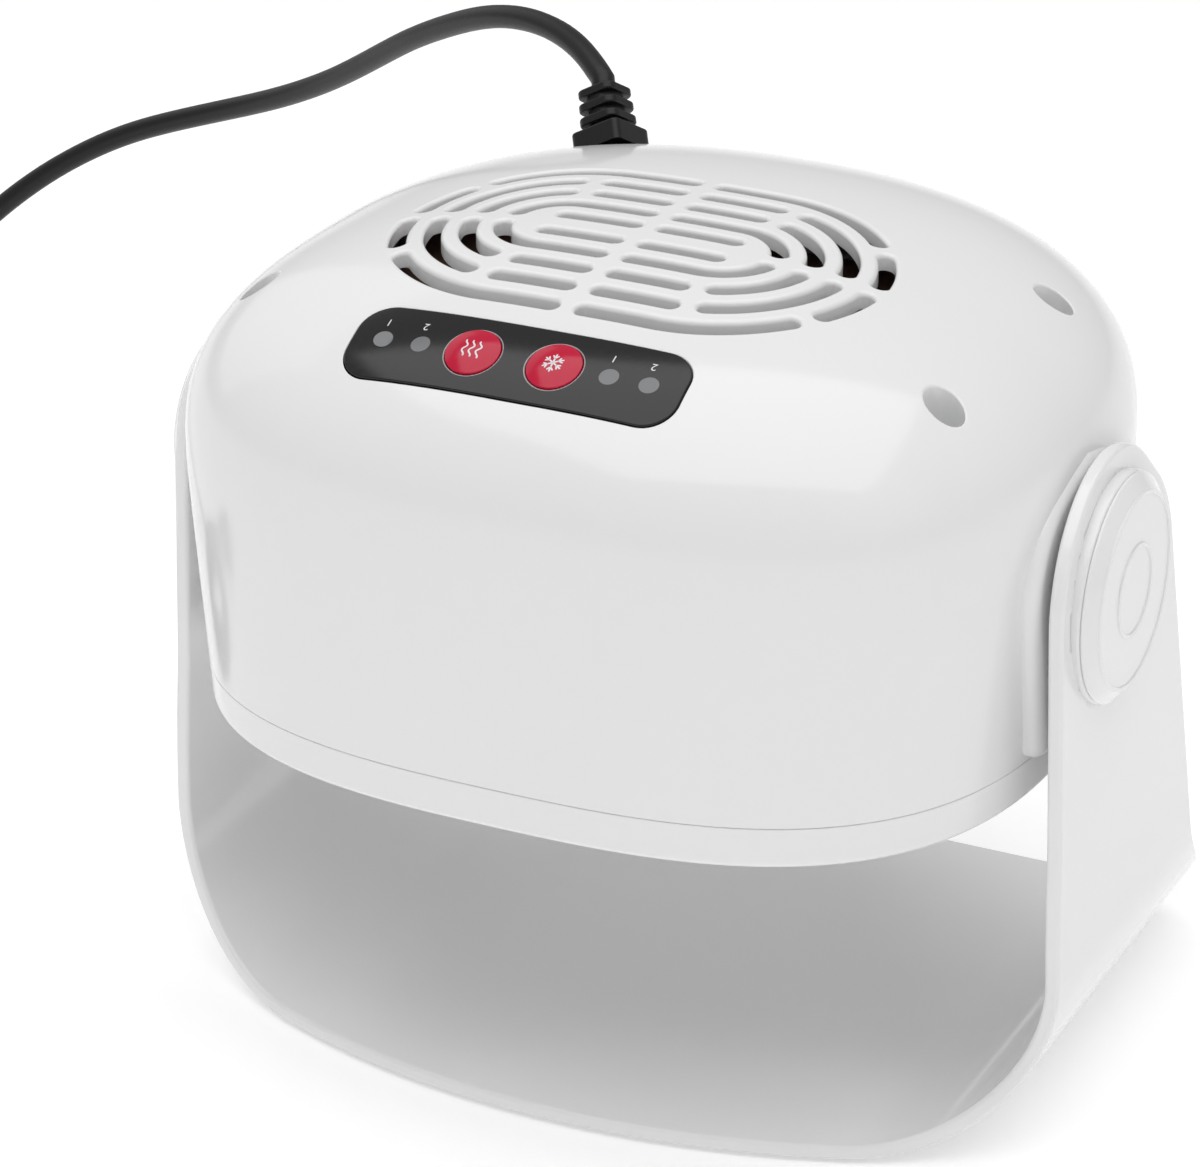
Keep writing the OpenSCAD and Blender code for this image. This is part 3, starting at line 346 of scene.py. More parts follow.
@dataclass
class Plate:
    """A curved plate with rounded edges, laid out flat and lifted onto its skin.

    skin takes rows of u, v and gives points, outward normals, the direction
    of depth, and the two tangents that u and v run along.
    """

    skin: Callable[[np.ndarray], tuple]
    thickness: float
    edges: list
    border: Optional[np.ndarray] = None
    fillers: Optional[np.ndarray] = None
    patches: list = field(default_factory=list)
    step: float = 1.3
    turns: int = 4
    extra: Optional[Callable[[np.ndarray], np.ndarray]] = None

    def build(self, shape: Shape) -> dict:
        """Adds the plate's faces to a shape.

        Args:
            shape: Shape that gets the faces.

        Returns:
            Numbers and normals of the border's points on the face ("top") and the back ("low").
        """
        loops = []
        if self.border is not None:
            loops.append(self.border)
        for edge in sorted(self.edges, key=lambda e: not e.rim):
            loops.append(edge.outline(0.0, self.step))
        loops.extend(self.patches)
        fixed = np.vstack(loops)
        spots = []
        for edge in self.edges:
            for k in range(1, self.turns + 1):
                away = edge.fillet * (1 - math.cos(k * math.pi / 2 / self.turns))
                ring = edge.outline(away, self.step)
                spots.append(ring[self.clear(ring) > away - 0.01])
        if self.fillers is not None:
            room = self.clear(self.fillers)
            widest = max([e.fillet for e in self.edges] + [0])
            spots.append(self.fillers[room > widest + 0.5 * self.step])
        loose = self.thin(np.vstack(spots), fixed) if spots else np.zeros((0, 2))
        corners = np.vstack([fixed, loose])
        outlines = []
        start = 0
        for loop in loops:
            outlines.append(list(range(start, start + len(loop))))
            start += len(loop)
        result = geometry.delaunay_2d_cdt([Vector(p) for p in corners.tolist()], [], outlines, 1, 1e-5, True)
        flat = np.array([tuple(v) for v in result[0]])
        number = {}
        for new, old in enumerate(result[3]):
            for o in old:
                number[o] = new
        first_patch = len(loops) - len(self.patches)
        triangles, slots = [], []
        for face, inside in zip(result[2], result[5]):
            if 0 not in inside or any(0 < f < first_patch for f in inside):
                continue
            patch = [f - first_patch + 1 for f in inside if f >= first_patch]
            triangles.append(list(face))
            slots.append(max(patch) if patch else 0)
        rings = [np.array([number[n] for n in outline]) for outline in outlines[:first_patch]]
        return self.lift(shape, flat, triangles, slots, rings)

    def clear(self, spots: np.ndarray) -> np.ndarray:
        """Least distance of points from any edge."""
        least = np.full(len(spots), 1e3)
        for edge in self.edges:
            least = np.minimum(least, edge.distance(spots)[0])
        return least

    @staticmethod
    def thin(spots: np.ndarray, fixed: np.ndarray, cell: float = 0.08) -> np.ndarray:
        """Drops points that lie almost on others.

        Args:
            spots: Loose points.
            fixed: Points that stay in any case.
            cell: Size within which two points count as one.

        Returns:
            The loose points that are kept.
        """
        keep, seen = [], set()
        for p in fixed:
            seen.add((round(p[0] / cell), round(p[1] / cell)))
        for p in spots:
            key = (round(p[0] / cell), round(p[1] / cell))
            if key not in seen:
                seen.add(key)
                keep.append(p)
        return np.array(keep)

    def lift(self, shape: Shape, flat: np.ndarray, triangles: list, slots: list, rings: list) -> dict:
        """Lifts the flat triangles onto the skin, front and back, and closes the edges.

        Args:
            shape: Shape that gets the faces.
            flat: Rows of u, v of the flat points.
            triangles: Three point numbers each.
            slots: Material slot of each triangle's front.
            rings: Point numbers of the border and of each edge.

        Returns:
            Numbers and normals along the border, empty if the plate has none.
        """
        place, normal, down, along_u, along_v = self.skin(flat)
        least = np.full(len(flat), 1e3)
        away = np.zeros((len(flat), 2))
        fillet = np.ones(len(flat))
        back = np.zeros(len(flat))
        for edge in self.edges:
            far, out = edge.distance(flat)
            nearer = far < least
            least[nearer], away[nearer] = far[nearer], out[nearer]
            fillet[nearer], back[nearer] = edge.fillet, edge.back_fillet
        side = unit(away[:, :1] * along_u + away[:, 1:] * along_v + 1e-12)
        lean = np.clip((fillet - np.clip(least, 0, None)) / np.maximum(fillet, 1e-6), 0, 1)
        level = np.sqrt(np.clip(1 - lean**2, 0, 1))
        drop = fillet * (1 - level)
        front_normal = unit(level[:, None] * normal - lean[:, None] * side)
        near_back = np.clip((back - np.clip(least, 0, None)) / np.maximum(back, 1e-6), 0, 1)
        lean_b = np.where(back > 0, near_back, 0)
        level_b = np.sqrt(np.clip(1 - lean_b**2, 0, 1))
        back_normal = unit(-level_b[:, None] * normal - lean_b[:, None] * side)
        top = shape.add_points(place + down * drop[:, None])
        deep = self.thickness - back * (1 - level_b) + (self.extra(flat) if self.extra else 0.0)
        low = shape.add_points(place + down * deep[:, None])
        for face, slot in zip(triangles, slots):
            a, b, c = (place[k] for k in face)
            if np.dot(np.cross(b - a, c - a), normal[face[0]]) < 0:
                face = face[::-1]
            shape.add_face(top[face], front_normal[face], slot)
            shape.add_face(low[face][::-1], back_normal[face][::-1], 0)
        found = {}
        for k, ring in enumerate(rings):
            if k == 0 and self.border is not None:
                found = {"top": top[ring], "low": low[ring], "normal": front_normal[ring]}
                continue
            a, b = (low[ring], top[ring]) if k == 0 else (top[ring], low[ring])
            shape.add_strip(a, b, -side[ring], -side[ring])
        return found


def level_skin(spots: np.ndarray, z: float, facing: int) -> tuple:
    """A level face as a plate's skin.

    Args:
        spots: Rows of u, v.
        z: Height of the face.
        facing: 1 if it looks up; -1 if it looks down, with v towards -Y.

    Returns:
        Points, outward normals, the direction of depth and both tangents.
    """
    ones = np.ones((len(spots), 1))
    along, across, up = ones * [1, 0, 0], ones * [0, facing, 0], ones * [0, 0, facing]
    return np.column_stack([spots * [1, facing], ones * z]), up, -up, along, across


def lathe(shape: Shape, profile: Sequence, matrix: Matrix, count: int, sharp: float = 32.0) -> None:
    """Turns a profile round an axis.

    Args:
        shape: Shape that gets the faces.
        profile: Rows of radius and height, from the foot of the outside to its top.
        matrix: Places the axis, +Z along it.
        count: Points round the axis.
        sharp: Angle in degrees above which a corner of the profile stays sharp.
    """
    rows = np.array(profile, float)
    turn = np.linspace(0, 2 * math.pi, count, endpoint=False)
    ring = np.stack([np.cos(turn), np.sin(turn), np.zeros(count)], 1)
    spin = np.array(matrix.to_3x3())
    shift = np.array(matrix.translation)
    run = unit(np.diff(rows, axis=0))
    flat = np.stack([run[:, 1], -run[:, 0]], 1)
    numbers = []
    for radius, height in rows:
        if radius < 1e-6:
            numbers.append(shape.add_points((spin @ np.array([[0, 0, height]]).T).T + shift))
        else:
            numbers.append(shape.add_points((ring * radius + [0, 0, height]) @ spin.T + shift))
    limit = math.cos(math.radians(sharp))
    for k in range(len(rows) - 1):
        ends = []
        for other in (k - 1, k + 1):
            n = flat[k]
            if 0 <= other < len(flat) and flat[k] @ flat[other] > limit:
                n = unit((flat[k] + flat[other])[None])[0]
            around = np.stack([ring[:, 0] * n[0], ring[:, 1] * n[0], np.full(count, n[1])], 1)
            ends.append(around @ spin.T)
        low, high = numbers[k], numbers[k + 1]
        for i in range(count):
            j = (i + 1) % count
            corners, normals = [], []
            for points, side, spots in ((low, ends[0], (i, j)), (high, ends[1], (j, i))):
                if len(points) == 1:
                    corners.append(points[0])
                    normals.append((side[i] + side[j]) / 2)
                else:
                    corners.extend(points[s] for s in spots)
                    normals.extend(side[s] for s in spots)
            if len(corners) > 2:
                shape.add_face(corners, normals)


def arc(centre: Sequence[float], radius: float, start: float, end: float, count: int = 7) -> list:
    """Profile points of an arc; the angles are in degrees from the radius axis."""
    turn = np.radians(np.linspace(start, end, count))
    return [[centre[0] + radius * math.cos(t), centre[1] + radius * math.sin(t)] for t in turn]


def dress(node: str, material: Material) -> None:
    """Gives a carried-over frame node its material."""
    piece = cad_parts[node]
    piece.data.materials.clear()
    piece.data.materials.append(material)


def finish_piece(piece: Object, body: str, nodes: Iterable[str] = ()) -> None:
    """Puts a piece on its body, hides the frame nodes it stands for and logs it.

    Args:
        piece: The finished object.
        body: Name of the body.
        nodes: Frame nodes that the piece replaces.
    """
    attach(piece, body)
    if nodes:
        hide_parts(*nodes)
    LOG.info("%s rides on %s, %d faces", piece.name, body, len(piece.data.polygons))


# ---------- Finishes ----------


class Surface(Enum):
    """How a surface was made, which sets its fine pattern."""

    MOULDED_GLOSS = "moulded in a polished tool"
    MOULDED_MATT = "moulded in a spark-eroded tool"
    PRINTED_FILM = "printed polyester film"
    LAMINATE = "paper laminate"
    BRUSHED = "rolled and brushed"
    CAST_RUBBER = "cast rubber"


@dataclass(frozen=True)
class Finish:
    """One real finish and what it gives the eye.

    The grain is the real size of the pattern in millimetres; stretch squeezes
    it along one axis, as brushing does.
    """

    name: str
    surface: Surface
    colour: str
    shade: str
    roughness: float
    spread: float
    grain: float
    bump: float
    metallic: float = 0.0
    coat: float = 0.0
    ior: float = 1.5
    stretch: tuple[float, float, float] = (1.0, 1.0, 1.0)
    subsurface: float = 0.0

    def build(self) -> Material:
        """Builds the node material.

        Returns:
            The material, with colour, roughness and bump from its nodes.
        """
        made = bpy.data.materials.new(self.name)
        made.use_nodes = True
        tree = made.node_tree
        tree.nodes.clear()
        place = add_node(tree, "ShaderNodeTexCoord")
        turn = add_node(
            tree, "ShaderNodeMapping", {"Scale": self.stretch}, {"Vector": place.outputs["Object"]}
        )
        fine = add_node(
            tree,
            "ShaderNodeTexNoise",
            {"Scale": 1 / (self.grain * MM), "Detail": 3.0, "Roughness": 0.6},
            {"Vector": turn.outputs[0]},
        )
        broad = add_node(
            tree, "ShaderNodeTexNoise", {"Scale": 9.0, "Detail": 2.0}, {"Vector": place.outputs["Object"]}
        )
        pattern = fine if self.surface in (Surface.LAMINATE, Surface.BRUSHED) else broad
        tint = add_node(
            tree,
            "ShaderNodeMix",
            {"data_type": "RGBA", 6: linear(self.colour), 7: linear(self.shade)},
            {0: pattern.outputs["Fac"]},
        )
        gloss = add_node(
            tree,
            "ShaderNodeMapRange",
            {1: 0.3, 2: 0.7, 3: self.roughness - self.spread, 4: self.roughness + self.spread},
            {0: fine.outputs["Fac"]},
        )
        relief = add_node(
            tree,
            "ShaderNodeBump",
            {"Strength": 1.0, "Distance": self.bump * MM},
            {"Height": fine.outputs["Fac"]},
        )
        shader = add_node(
            tree,
            "ShaderNodeBsdfPrincipled",
            {
                "Metallic": self.metallic,
                "IOR": self.ior,
                "Coat Weight": self.coat,
                "Coat Roughness": 0.06,
                "Subsurface Weight": self.subsurface,
                "Subsurface Scale": 0.002,
            },
            {"Base Color": tint.outputs[2], "Roughness": gloss.outputs[0], "Normal": relief.outputs[0]},
        )
        add_node(tree, "ShaderNodeOutputMaterial", {}, {"Surface": shader.outputs[0]})
        return made


# Polished white ABS: a clean, neutral white with clear soft-box reflections.
WHITE_ABS = Finish("abs_white_polished", Surface.MOULDED_GLOSS, "#f0f0f0", "#eeeeee", 0.13, 0.02, 2.6, 0.003)
# Screen-printed polyester film: near black, glassy on top.
PANEL_FILM = Finish(
    "polyester_film_black", Surface.PRINTED_FILM, "#1d1d1e", "#19191a", 0.14, 0.02, 1.4, 0.002, ior=1.45
)
# The film's unprinted windows over the lamps: smoky grey.
LAMP_WINDOW = Finish(
    "polyester_window_grey", Surface.PRINTED_FILM, "#7f8081", "#67686a", 0.2, 0.04, 0.7, 0.004
)
# The film's cut edge round each button: a thin pale line.
FILM_EDGE = Finish("polyester_edge_pale", Surface.PRINTED_FILM, "#b9b2b4", "#a9a2a5", 0.3, 0.04, 0.5, 0.0)
# White screen print: flat and opaque.
PRINT_WHITE = Finish("screen_print_white", Surface.PRINTED_FILM, "#e9eaec", "#dcdde0", 0.35, 0.05, 0.3, 0.002)
# Polished crimson ABS of the buttons: deep red that pales where it mirrors the soft box.
RED_ABS = Finish(
    "abs_red_polished", Surface.MOULDED_GLOSS, "#c80838", "#bb0632", 0.16, 0.02, 1.2, 0.002, ior=1.45
)
# Soft black PVC of lead, gland and plug: satin with a fine moulded skin.
BLACK_PVC = Finish(
    "pvc_black_satin", Surface.CAST_RUBBER, "#131314", "#0f0f10", 0.42, 0.07, 0.45, 0.02, ior=1.42
)
# Cable tie in black nylon: a touch glossier than the lead.
BLACK_NYLON = Finish("nylon_black", Surface.MOULDED_MATT, "#1a1b1d", "#222326", 0.32, 0.05, 0.6, 0.01)
# Glass-filled PBT of fan frame and impeller: dull black with faint flow marks.
FAN_PBT = Finish("pbt_black_fan", Surface.MOULDED_MATT, "#1b1c1e", "#242528", 0.38, 0.07, 0.9, 0.01)
# Paper laminate of deck and boards: warm brown with fine fibre.
LAMINATE_BROWN = Finish(
    "paper_laminate_brown", Surface.LAMINATE, "#6a5247", "#5a443a", 0.5, 0.08, 0.35, 0.01,
    stretch=(1, 0.25, 1),
)
# Mica: pale brown, flaky sheen.
MICA = Finish("mica_board", Surface.LAMINATE, "#b79a72", "#a2855f", 0.35, 0.12, 0.8, 0.01)
# Nichrome heating wire, wound fine: grey metal with a close ribbing.
NICHROME = Finish("nichrome_coil", Surface.BRUSHED, "#8f8b86", "#6f6a65", 0.35, 0.08, 0.4, 0.05, metallic=1.0)
# Zinc-plated steel screws and washers: light, slightly bluish metal.
ZINC_STEEL = Finish(
    "steel_zinc_plated", Surface.BRUSHED, "#c9ccd0", "#b3b7bc", 0.26, 0.06, 0.3, 0.004,
    metallic=1.0, stretch=(1, 1, 0.2),
)
# Rolled aluminium of the air duct: soft grey metal with long rolling marks.
ALUMINIUM = Finish(
    "aluminium_rolled", Surface.BRUSHED, "#cfd0d2", "#bdbec1", 0.3, 0.08, 0.5, 0.006,
    metallic=1.0, stretch=(1, 1, 0.1),
)
# Nickel-plated brass of the plug's blades: bright, faintly warm metal.
NICKEL_BRASS = Finish(
    "brass_nickel_plated", Surface.BRUSHED, "#d3cfc4", "#c4bfb2", 0.2, 0.05, 0.3, 0.003,
    metallic=1.0, stretch=(1, 0.2, 1),
)
# Natural nylon hubs: milky, half dull.
NYLON_NATURAL = Finish(
    "nylon_natural", Surface.MOULDED_MATT, "#e3e0d6", "#d8d4c8", 0.4, 0.06, 0.6, 0.01, subsurface=0.1
)
# Pressed-fibre friction washers: dark, dry and fuzzy.
FIBRE = Finish("pressed_fibre_grey", Surface.LAMINATE, "#4d4a46", "#3b3935", 0.85, 0.08, 0.25, 0.03)
# Steatite and ceramic blocks: creamy, smooth.
CERAMIC = Finish("steatite_cream", Surface.MOULDED_MATT, "#e6dfce", "#dad2bf", 0.4, 0.05, 0.7, 0.005)
# Grey PVC sleeve of the wire harness: dull and slightly uneven.
GREY_PVC = Finish("pvc_grey_sleeve", Surface.CAST_RUBBER, "#5c5e62", "#4e5054", 0.45, 0.06, 0.6, 0.01)
# Rubber of the feet: dark and matt.
FOOT_RUBBER = Finish("rubber_foot_dark", Surface.CAST_RUBBER, "#3a3b3d", "#323335", 0.7, 0.06, 0.4, 0.03)


# ---------- Head ----------


@dataclass
class HeadForm:
    """The head's superellipse form, shared by the housing, the cover and the panel."""

    width: float = 226.0
    front: float = 102.0
    back: float = 109.0
    mid_y: float = 6.0
    bottom: float = 90.0
    seam: float = 101.0
    shoulder: float = 158.0
    top: float = 213.0
    draft: float = 3.5
    square_front: float = 2.8
    square_back: float = 2.3
    full: float = 2.55
    shell: float = 2.6
    soften: float = 6.0

    def share(self, x: np.ndarray, y: np.ndarray) -> tuple[np.ndarray, np.ndarray, np.ndarray]:
        """How far out points lie, 1 on the outline.

        Args:
            x: Places along x.
            y: Places along y.

        Returns:
            The shares, and their slopes along x and y.
        """
        ahead = y < self.mid_y
        m = np.where(ahead, self.square_front, self.square_back)
        depth = np.where(ahead, self.front, self.back)
        a = np.maximum(np.abs(2 * x / self.width), 1e-9)
        b = np.maximum(np.abs((y - self.mid_y) / depth), 1e-9)
        s = (a**m + b**m) ** (1 / m)
        dx = s ** (1 - m) * a ** (m - 1) * 2 / self.width * np.sign(x)
        dy = s ** (1 - m) * b ** (m - 1) / depth * np.sign(y - self.mid_y)
        return s, dx, dy

    def height(self, x: np.ndarray, y: np.ndarray) -> np.ndarray:
        """Height of the dome over points in plan."""
        s = np.clip(self.share(x, y)[0], 0, 1)
        return self.shoulder + (self.top - self.shoulder) * (1 - s**self.full) ** (1 / self.full)

    def normal(self, x: np.ndarray, y: np.ndarray, z: np.ndarray) -> np.ndarray:
        """Outward normals of the dome at points on it."""
        s, dx, dy = self.share(x, y)
        rise = self.top - self.shoulder
        level = np.clip((z - self.shoulder) / rise, 0, 1)
        k = s ** (self.full - 1)
        return unit(np.stack([k * dx, k * dy, level ** (self.full - 1) / rise], 1))

    def turns(self, count: int) -> np.ndarray:
        """Angles that space the outline's points evenly.

        Args:
            count: How many are wanted.

        Returns:
            The angles.
        """
        fine = np.linspace(0, 2 * math.pi, 8193)
        line = self.outline(fine, 0.0)
        along = np.concatenate([[0], np.cumsum(np.linalg.norm(np.diff(line, axis=0), axis=1))])
        return np.interp(np.linspace(0, along[-1], count, endpoint=False), along, fine)

    def outline(self, turn: np.ndarray, inset: float) -> np.ndarray:
        """Points of the outline in plan.

        Args:
            turn: Angles of the points.
            inset: How far the outline is drawn in.

        Returns:
            The points.
        """
        c, s = np.cos(turn), np.sin(turn)
        m = np.where(s < 0, self.square_front, self.square_back)
        depth = np.where(s < 0, self.front, self.back) - inset
        x = (self.width / 2 - inset) * np.sign(c) * np.abs(c) ** (2 / m)
        return np.stack([x, self.mid_y + depth * np.sign(s) * np.abs(s) ** (2 / m)], 1)

    def wall_inset(self, z: float) -> float:
        """How far the drafted wall is drawn in at a height, eased in under the shoulder."""
        fall = self.shoulder - z
        return math.tan(math.radians(self.draft)) * (math.hypot(fall, self.soften) - self.soften)

    def wall_row(self, turn: np.ndarray, z: float, inward: float = 0.0) -> tuple[np.ndarray, np.ndarray]:
        """One ring of the wall.

        Args:
            turn: Angles of the points.
            z: Height of the ring.
            inward: How far it is drawn in from the outer face.

        Returns:
            The points and their outward normals.
        """
        flat = self.outline(turn, self.wall_inset(z) + inward)
        _, dx, dy = self.share(flat[:, 0], flat[:, 1])
        fall = self.shoulder - z
        lean = math.tan(math.radians(self.draft)) * fall / math.hypot(fall, self.soften)
        out = unit(np.stack([dx, dy], 1))
        normal = unit(np.stack([out[:, 0], out[:, 1], np.full(len(turn), -lean)], 1))
        return np.column_stack([flat, np.full(len(turn), z)]), normal

    def dome_row(self, turn: np.ndarray, a: float) -> tuple[np.ndarray, np.ndarray]:
        """One ring of the dome.

        Args:
            turn: Angles of the points.
            a: Angle of the ring above the shoulder.

        Returns:
            The points and their outward normals.
        """
        flat = self.outline(turn, 0.0)
        flat = np.array([0, self.mid_y]) + (flat - [0, self.mid_y]) * math.cos(a) ** (2 / self.full)
        z = self.shoulder + (self.top - self.shoulder) * math.sin(a) ** (2 / self.full)
        points = np.column_stack([flat, np.full(len(turn), z)])
        return points, self.normal(flat[:, 0], flat[:, 1], points[:, 2])

    def skin(self, spots: np.ndarray) -> tuple:
        """The dome as a plate's skin: u, v are x, y and depth runs straight down.

        Args:
            spots: Rows of u, v.

        Returns:
            Points, outward normals, the direction of depth and both tangents.
        """
        x, y = spots[:, 0], spots[:, 1]
        z = self.height(x, y)
        ones, none = np.ones(len(x)), np.zeros(len(x))
        return (
            np.stack([x, y, z], 1),
            self.normal(x, y, z),
            np.stack([none, none, -ones], 1),
            np.stack([ones, none, none], 1),
            np.stack([none, ones, none], 1),
        )


@dataclass
class TiltedFrame:
    """A small frame that stands on the dome, as the panel's and the gland's do."""

    form: HeadForm
    foot: tuple[float, float]
    axis_x: np.ndarray
    axis_y: np.ndarray
    axis_z: np.ndarray

    @property
    def origin(self) -> np.ndarray:
        """The frame's foot on the dome."""
        x, y = self.foot
        return np.array([x, y, float(self.form.height(np.array([x]), np.array([y]))[0])])

    def on_dome(self, spots: np.ndarray, raised: float = 0.0, rounds: int = 30) -> np.ndarray:
        """Points of the dome over u, v of this frame.

        Args:
            spots: Rows of u, v.
            raised: Height above the dome.
            rounds: Steps of the search for the dome.

        Returns:
            The points.
        """
        base = self.origin + spots[:, :1] * self.axis_x + spots[:, 1:2] * self.axis_y
        w = np.zeros(len(spots))
        for _ in range(rounds):
            p = base + w[:, None] * self.axis_z
            w = w + (self.form.height(p[:, 0], p[:, 1]) - p[:, 2]) * self.axis_z[2]
        return base + (w + raised)[:, None] * self.axis_z

    def matrix(self) -> Matrix:
        """The frame as a matrix, in millimetres."""
        made = Matrix([self.axis_x, self.axis_y, self.axis_z]).transposed().to_4x4()
        made.translation = Vector(self.origin)
        return made


def turned_frame(form: HeadForm, foot: tuple[float, float], about_x: float, about_y: float) -> TiltedFrame:
    """A frame on the dome, turned about X and then about Y.

    Args:
        form: The head's form.
        foot: Where the frame stands, in plan.
        about_x: First turn, in degrees.
        about_y: Second turn, in degrees.

    Returns:
        The frame.
    """
    spin = Matrix.Rotation(math.radians(about_y), 3, "Y") @ Matrix.Rotation(math.radians(about_x), 3, "X")
    columns = [np.array(spin.col[k]) for k in range(3)]
    return TiltedFrame(form, foot, *columns)


@dataclass
class Vent:
    """The racetrack air vent: where its slots run."""

    centre_y: float = -11.0
    half: float = 21.5
    first: float = 5.4
    pitch: float = 8.5
    slot: float = 4.1
    bar: float = 4.4
    reach: float = 1.0
    fillet: float = 1.3
    rings: tuple[tuple[float, ...], ...] = ((0,), (-80, 0, 80), (-80, 0, 80), (-35, 0, 35))
    rib_depth: float = 1.6
    fade: float = 3.0
    step: float = 1.25

    def rib_rise(self, spots: np.ndarray) -> np.ndarray:
        """How much deeper than the shell the vent's ribs are, faded out around the vent.

        Args:
            spots: Rows of x, y.

        Returns:
            The extra depths.
        """
        beyond = np.clip(np.abs(spots[:, 0]) - self.half, 0, None)
        far = np.hypot(beyond, spots[:, 1] - self.centre_y)
        outer = self.first + len(self.rings) * self.pitch + self.slot / 2
        return self.rib_depth * np.clip((outer + 1.5 * self.fade - far) / self.fade, 0, 1)

    def ring_paths(self, radius: float, bars: Sequence[float]) -> list:
        """Centre lines of one ring's slots on the right side.

        Args:
            radius: Radius of the ring's round end.
            bars: Angles in degrees of the bridges that break it.

        Returns:
            One line for each slot.
        """
        gap = self.bar + self.slot
        half_gap = math.degrees(gap / 2 / radius)
        stops = [90.0]
        for turn in sorted(bars, reverse=True):
            stops.extend([turn + half_gap, turn - half_gap])
        stops.append(-90.0)
        paths = []
        for k, (high, low) in enumerate(zip(stops[::2], stops[1::2])):
            turn = np.radians(np.linspace(min(high, 90), max(low, -90), 40))
            line = np.stack([self.half + radius * np.cos(turn), radius * np.sin(turn)], 1)
            if k == 0:
                end = [self.half + radius * math.cos(math.radians(low)), radius] if low > 90 else None
                line = np.vstack([[gap / 2, radius], end if end else line])
            if high == stops[-2]:
                end = [self.half + radius * math.cos(math.radians(high)), -radius] if high < -90 else None
                line = np.vstack([end if end else line, [gap / 2, -radius]])
            paths.append(resample(line, self.step))
        return paths

    def edges(self) -> list:
        """The vent's slots as rounded edges."""
        gap = self.bar + self.slot
        right = [
            resample(np.array([[gap / 2, y], [self.half + self.reach, y]]), self.step)
            for y in (self.first, -self.first)
        ]
        for k, bars in enumerate(self.rings):
            right.extend(self.ring_paths(self.first + (k + 1) * self.pitch, bars))
        shift = np.array([0, self.centre_y])
        return [Edge(side * path + shift, self.fillet, self.slot / 2) for path in right for side in (1, -1)]


@dataclass
class ControlPanel:
    """The black film panel with its lamp windows and two buttons."""

    form: HeadForm
    length: float = 86.0
    height: float = 22.5
    corner: float = 8.0
    slope: float = 28.0
    proud: float = 0.3
    thick: float = 1.5
    button: float = 13.5
    button_pitch: float = 21.0
    button_proud: float = 1.6
    crown: float = 1.2
    lamp: float = 4.8
    lamps: tuple[float, ...] = (-34.4, -24.4, 24.4, 34.4)

    @property
    def frame(self) -> TiltedFrame:
        """The panel's own frame on the dome."""
        return turned_frame(self.form, (-3.9, -70.3), self.slope, 0.0)

    def pocket(self) -> np.ndarray:
        """Outline of the panel's pocket, in plan."""
        line = rounded_rect(self.length + 0.4, self.height + 0.4, self.corner + 0.2, 1.2)
        return self.frame.on_dome(line)[:, :2]

    def skin(self, spots: np.ndarray, raised: float = 0.0) -> tuple:
        """The panel's face as a plate's skin."""
        place = self.frame.on_dome(spots, self.proud + raised)
        normal = self.form.normal(place[:, 0], place[:, 1], place[:, 2])
        spread = np.ones((len(spots), 1))
        axes = self.frame
        return place, normal, -spread * axes.axis_z, spread * axes.axis_x, spread * axes.axis_y

    def build_plate(self, materials: Sequence[Material]) -> Object:
        """Builds the film with its windows and the pale edges round the buttons.

        Args:
            materials: Finishes of the film, its cut edges and its windows.

        Returns:
            The film's object.
        """
        shape = Shape()
        edges = [Edge(rounded_rect(self.length, self.height, self.corner, 1.2), 0.35, closed=True, rim=True)]
        patches = []
        for x in (-self.button_pitch / 2, self.button_pitch / 2):
            edges.append(Edge(np.array([[x, 0.0]]), 0.12, self.button / 2 + 0.2))
            patches.append(circle((x, 0), self.button / 2 + 0.55, 64))
        windows = [circle((x, 0), self.lamp / 2, 32) for x in self.lamps]
        across, up = np.arange(-42, 42.1, 2.0), np.arange(-10, 10.1, 2.0)
        grid = np.stack(np.meshgrid(across, up), -1).reshape(-1, 2)
        clear = self.lamp / 2 + 0.8
        fillers = np.array([p for p in grid if not any(np.hypot(*(p - w.mean(0))) < clear for w in windows)])
        plate = Plate(self.skin, self.thick, edges, fillers=fillers, patches=patches + windows, step=0.9)
        plate.build(shape)
        shape.slots = [0 if s == 0 else 1 if s <= 2 else 2 for s in shape.slots]
        return shape.to_object("panel_film", materials)

    @property
    def ball(self) -> float:
        """Radius of the ball that a button's crown is cut from."""
        return ((self.button / 2) ** 2 + self.crown**2) / (2 * self.crown)

    def build_button(self, side: int, material: Material) -> Object:
        """Builds one domed push button, drawn at rest.

        Args:
            side: -1 for the left button, 1 for the right.
            material: Its finish.

        Returns:
            The button's object.
        """
        shape = Shape()
        radius, soft, foot = self.button / 2, 0.3, -5.6
        rise = self.button_proud - self.crown
        tip = math.degrees(math.asin((radius - soft) / self.ball))
        dome = arc((0, self.button_proud - self.ball), self.ball, 90 - tip, 90, 14)
        edge = arc((radius - soft, rise - 0.2), soft, 0, 62, 5)
        profile = [[0, foot], [radius - 0.2, foot], [radius, foot + 0.2], *edge, *dome]
        spot = Matrix.Translation((side * self.button_pitch / 2, 0, 0))
        lathe(shape, profile, self.frame.matrix() @ spot, 96)
        return shape.to_object("button_red_" + ("cool" if side > 0 else "hot"), [material])


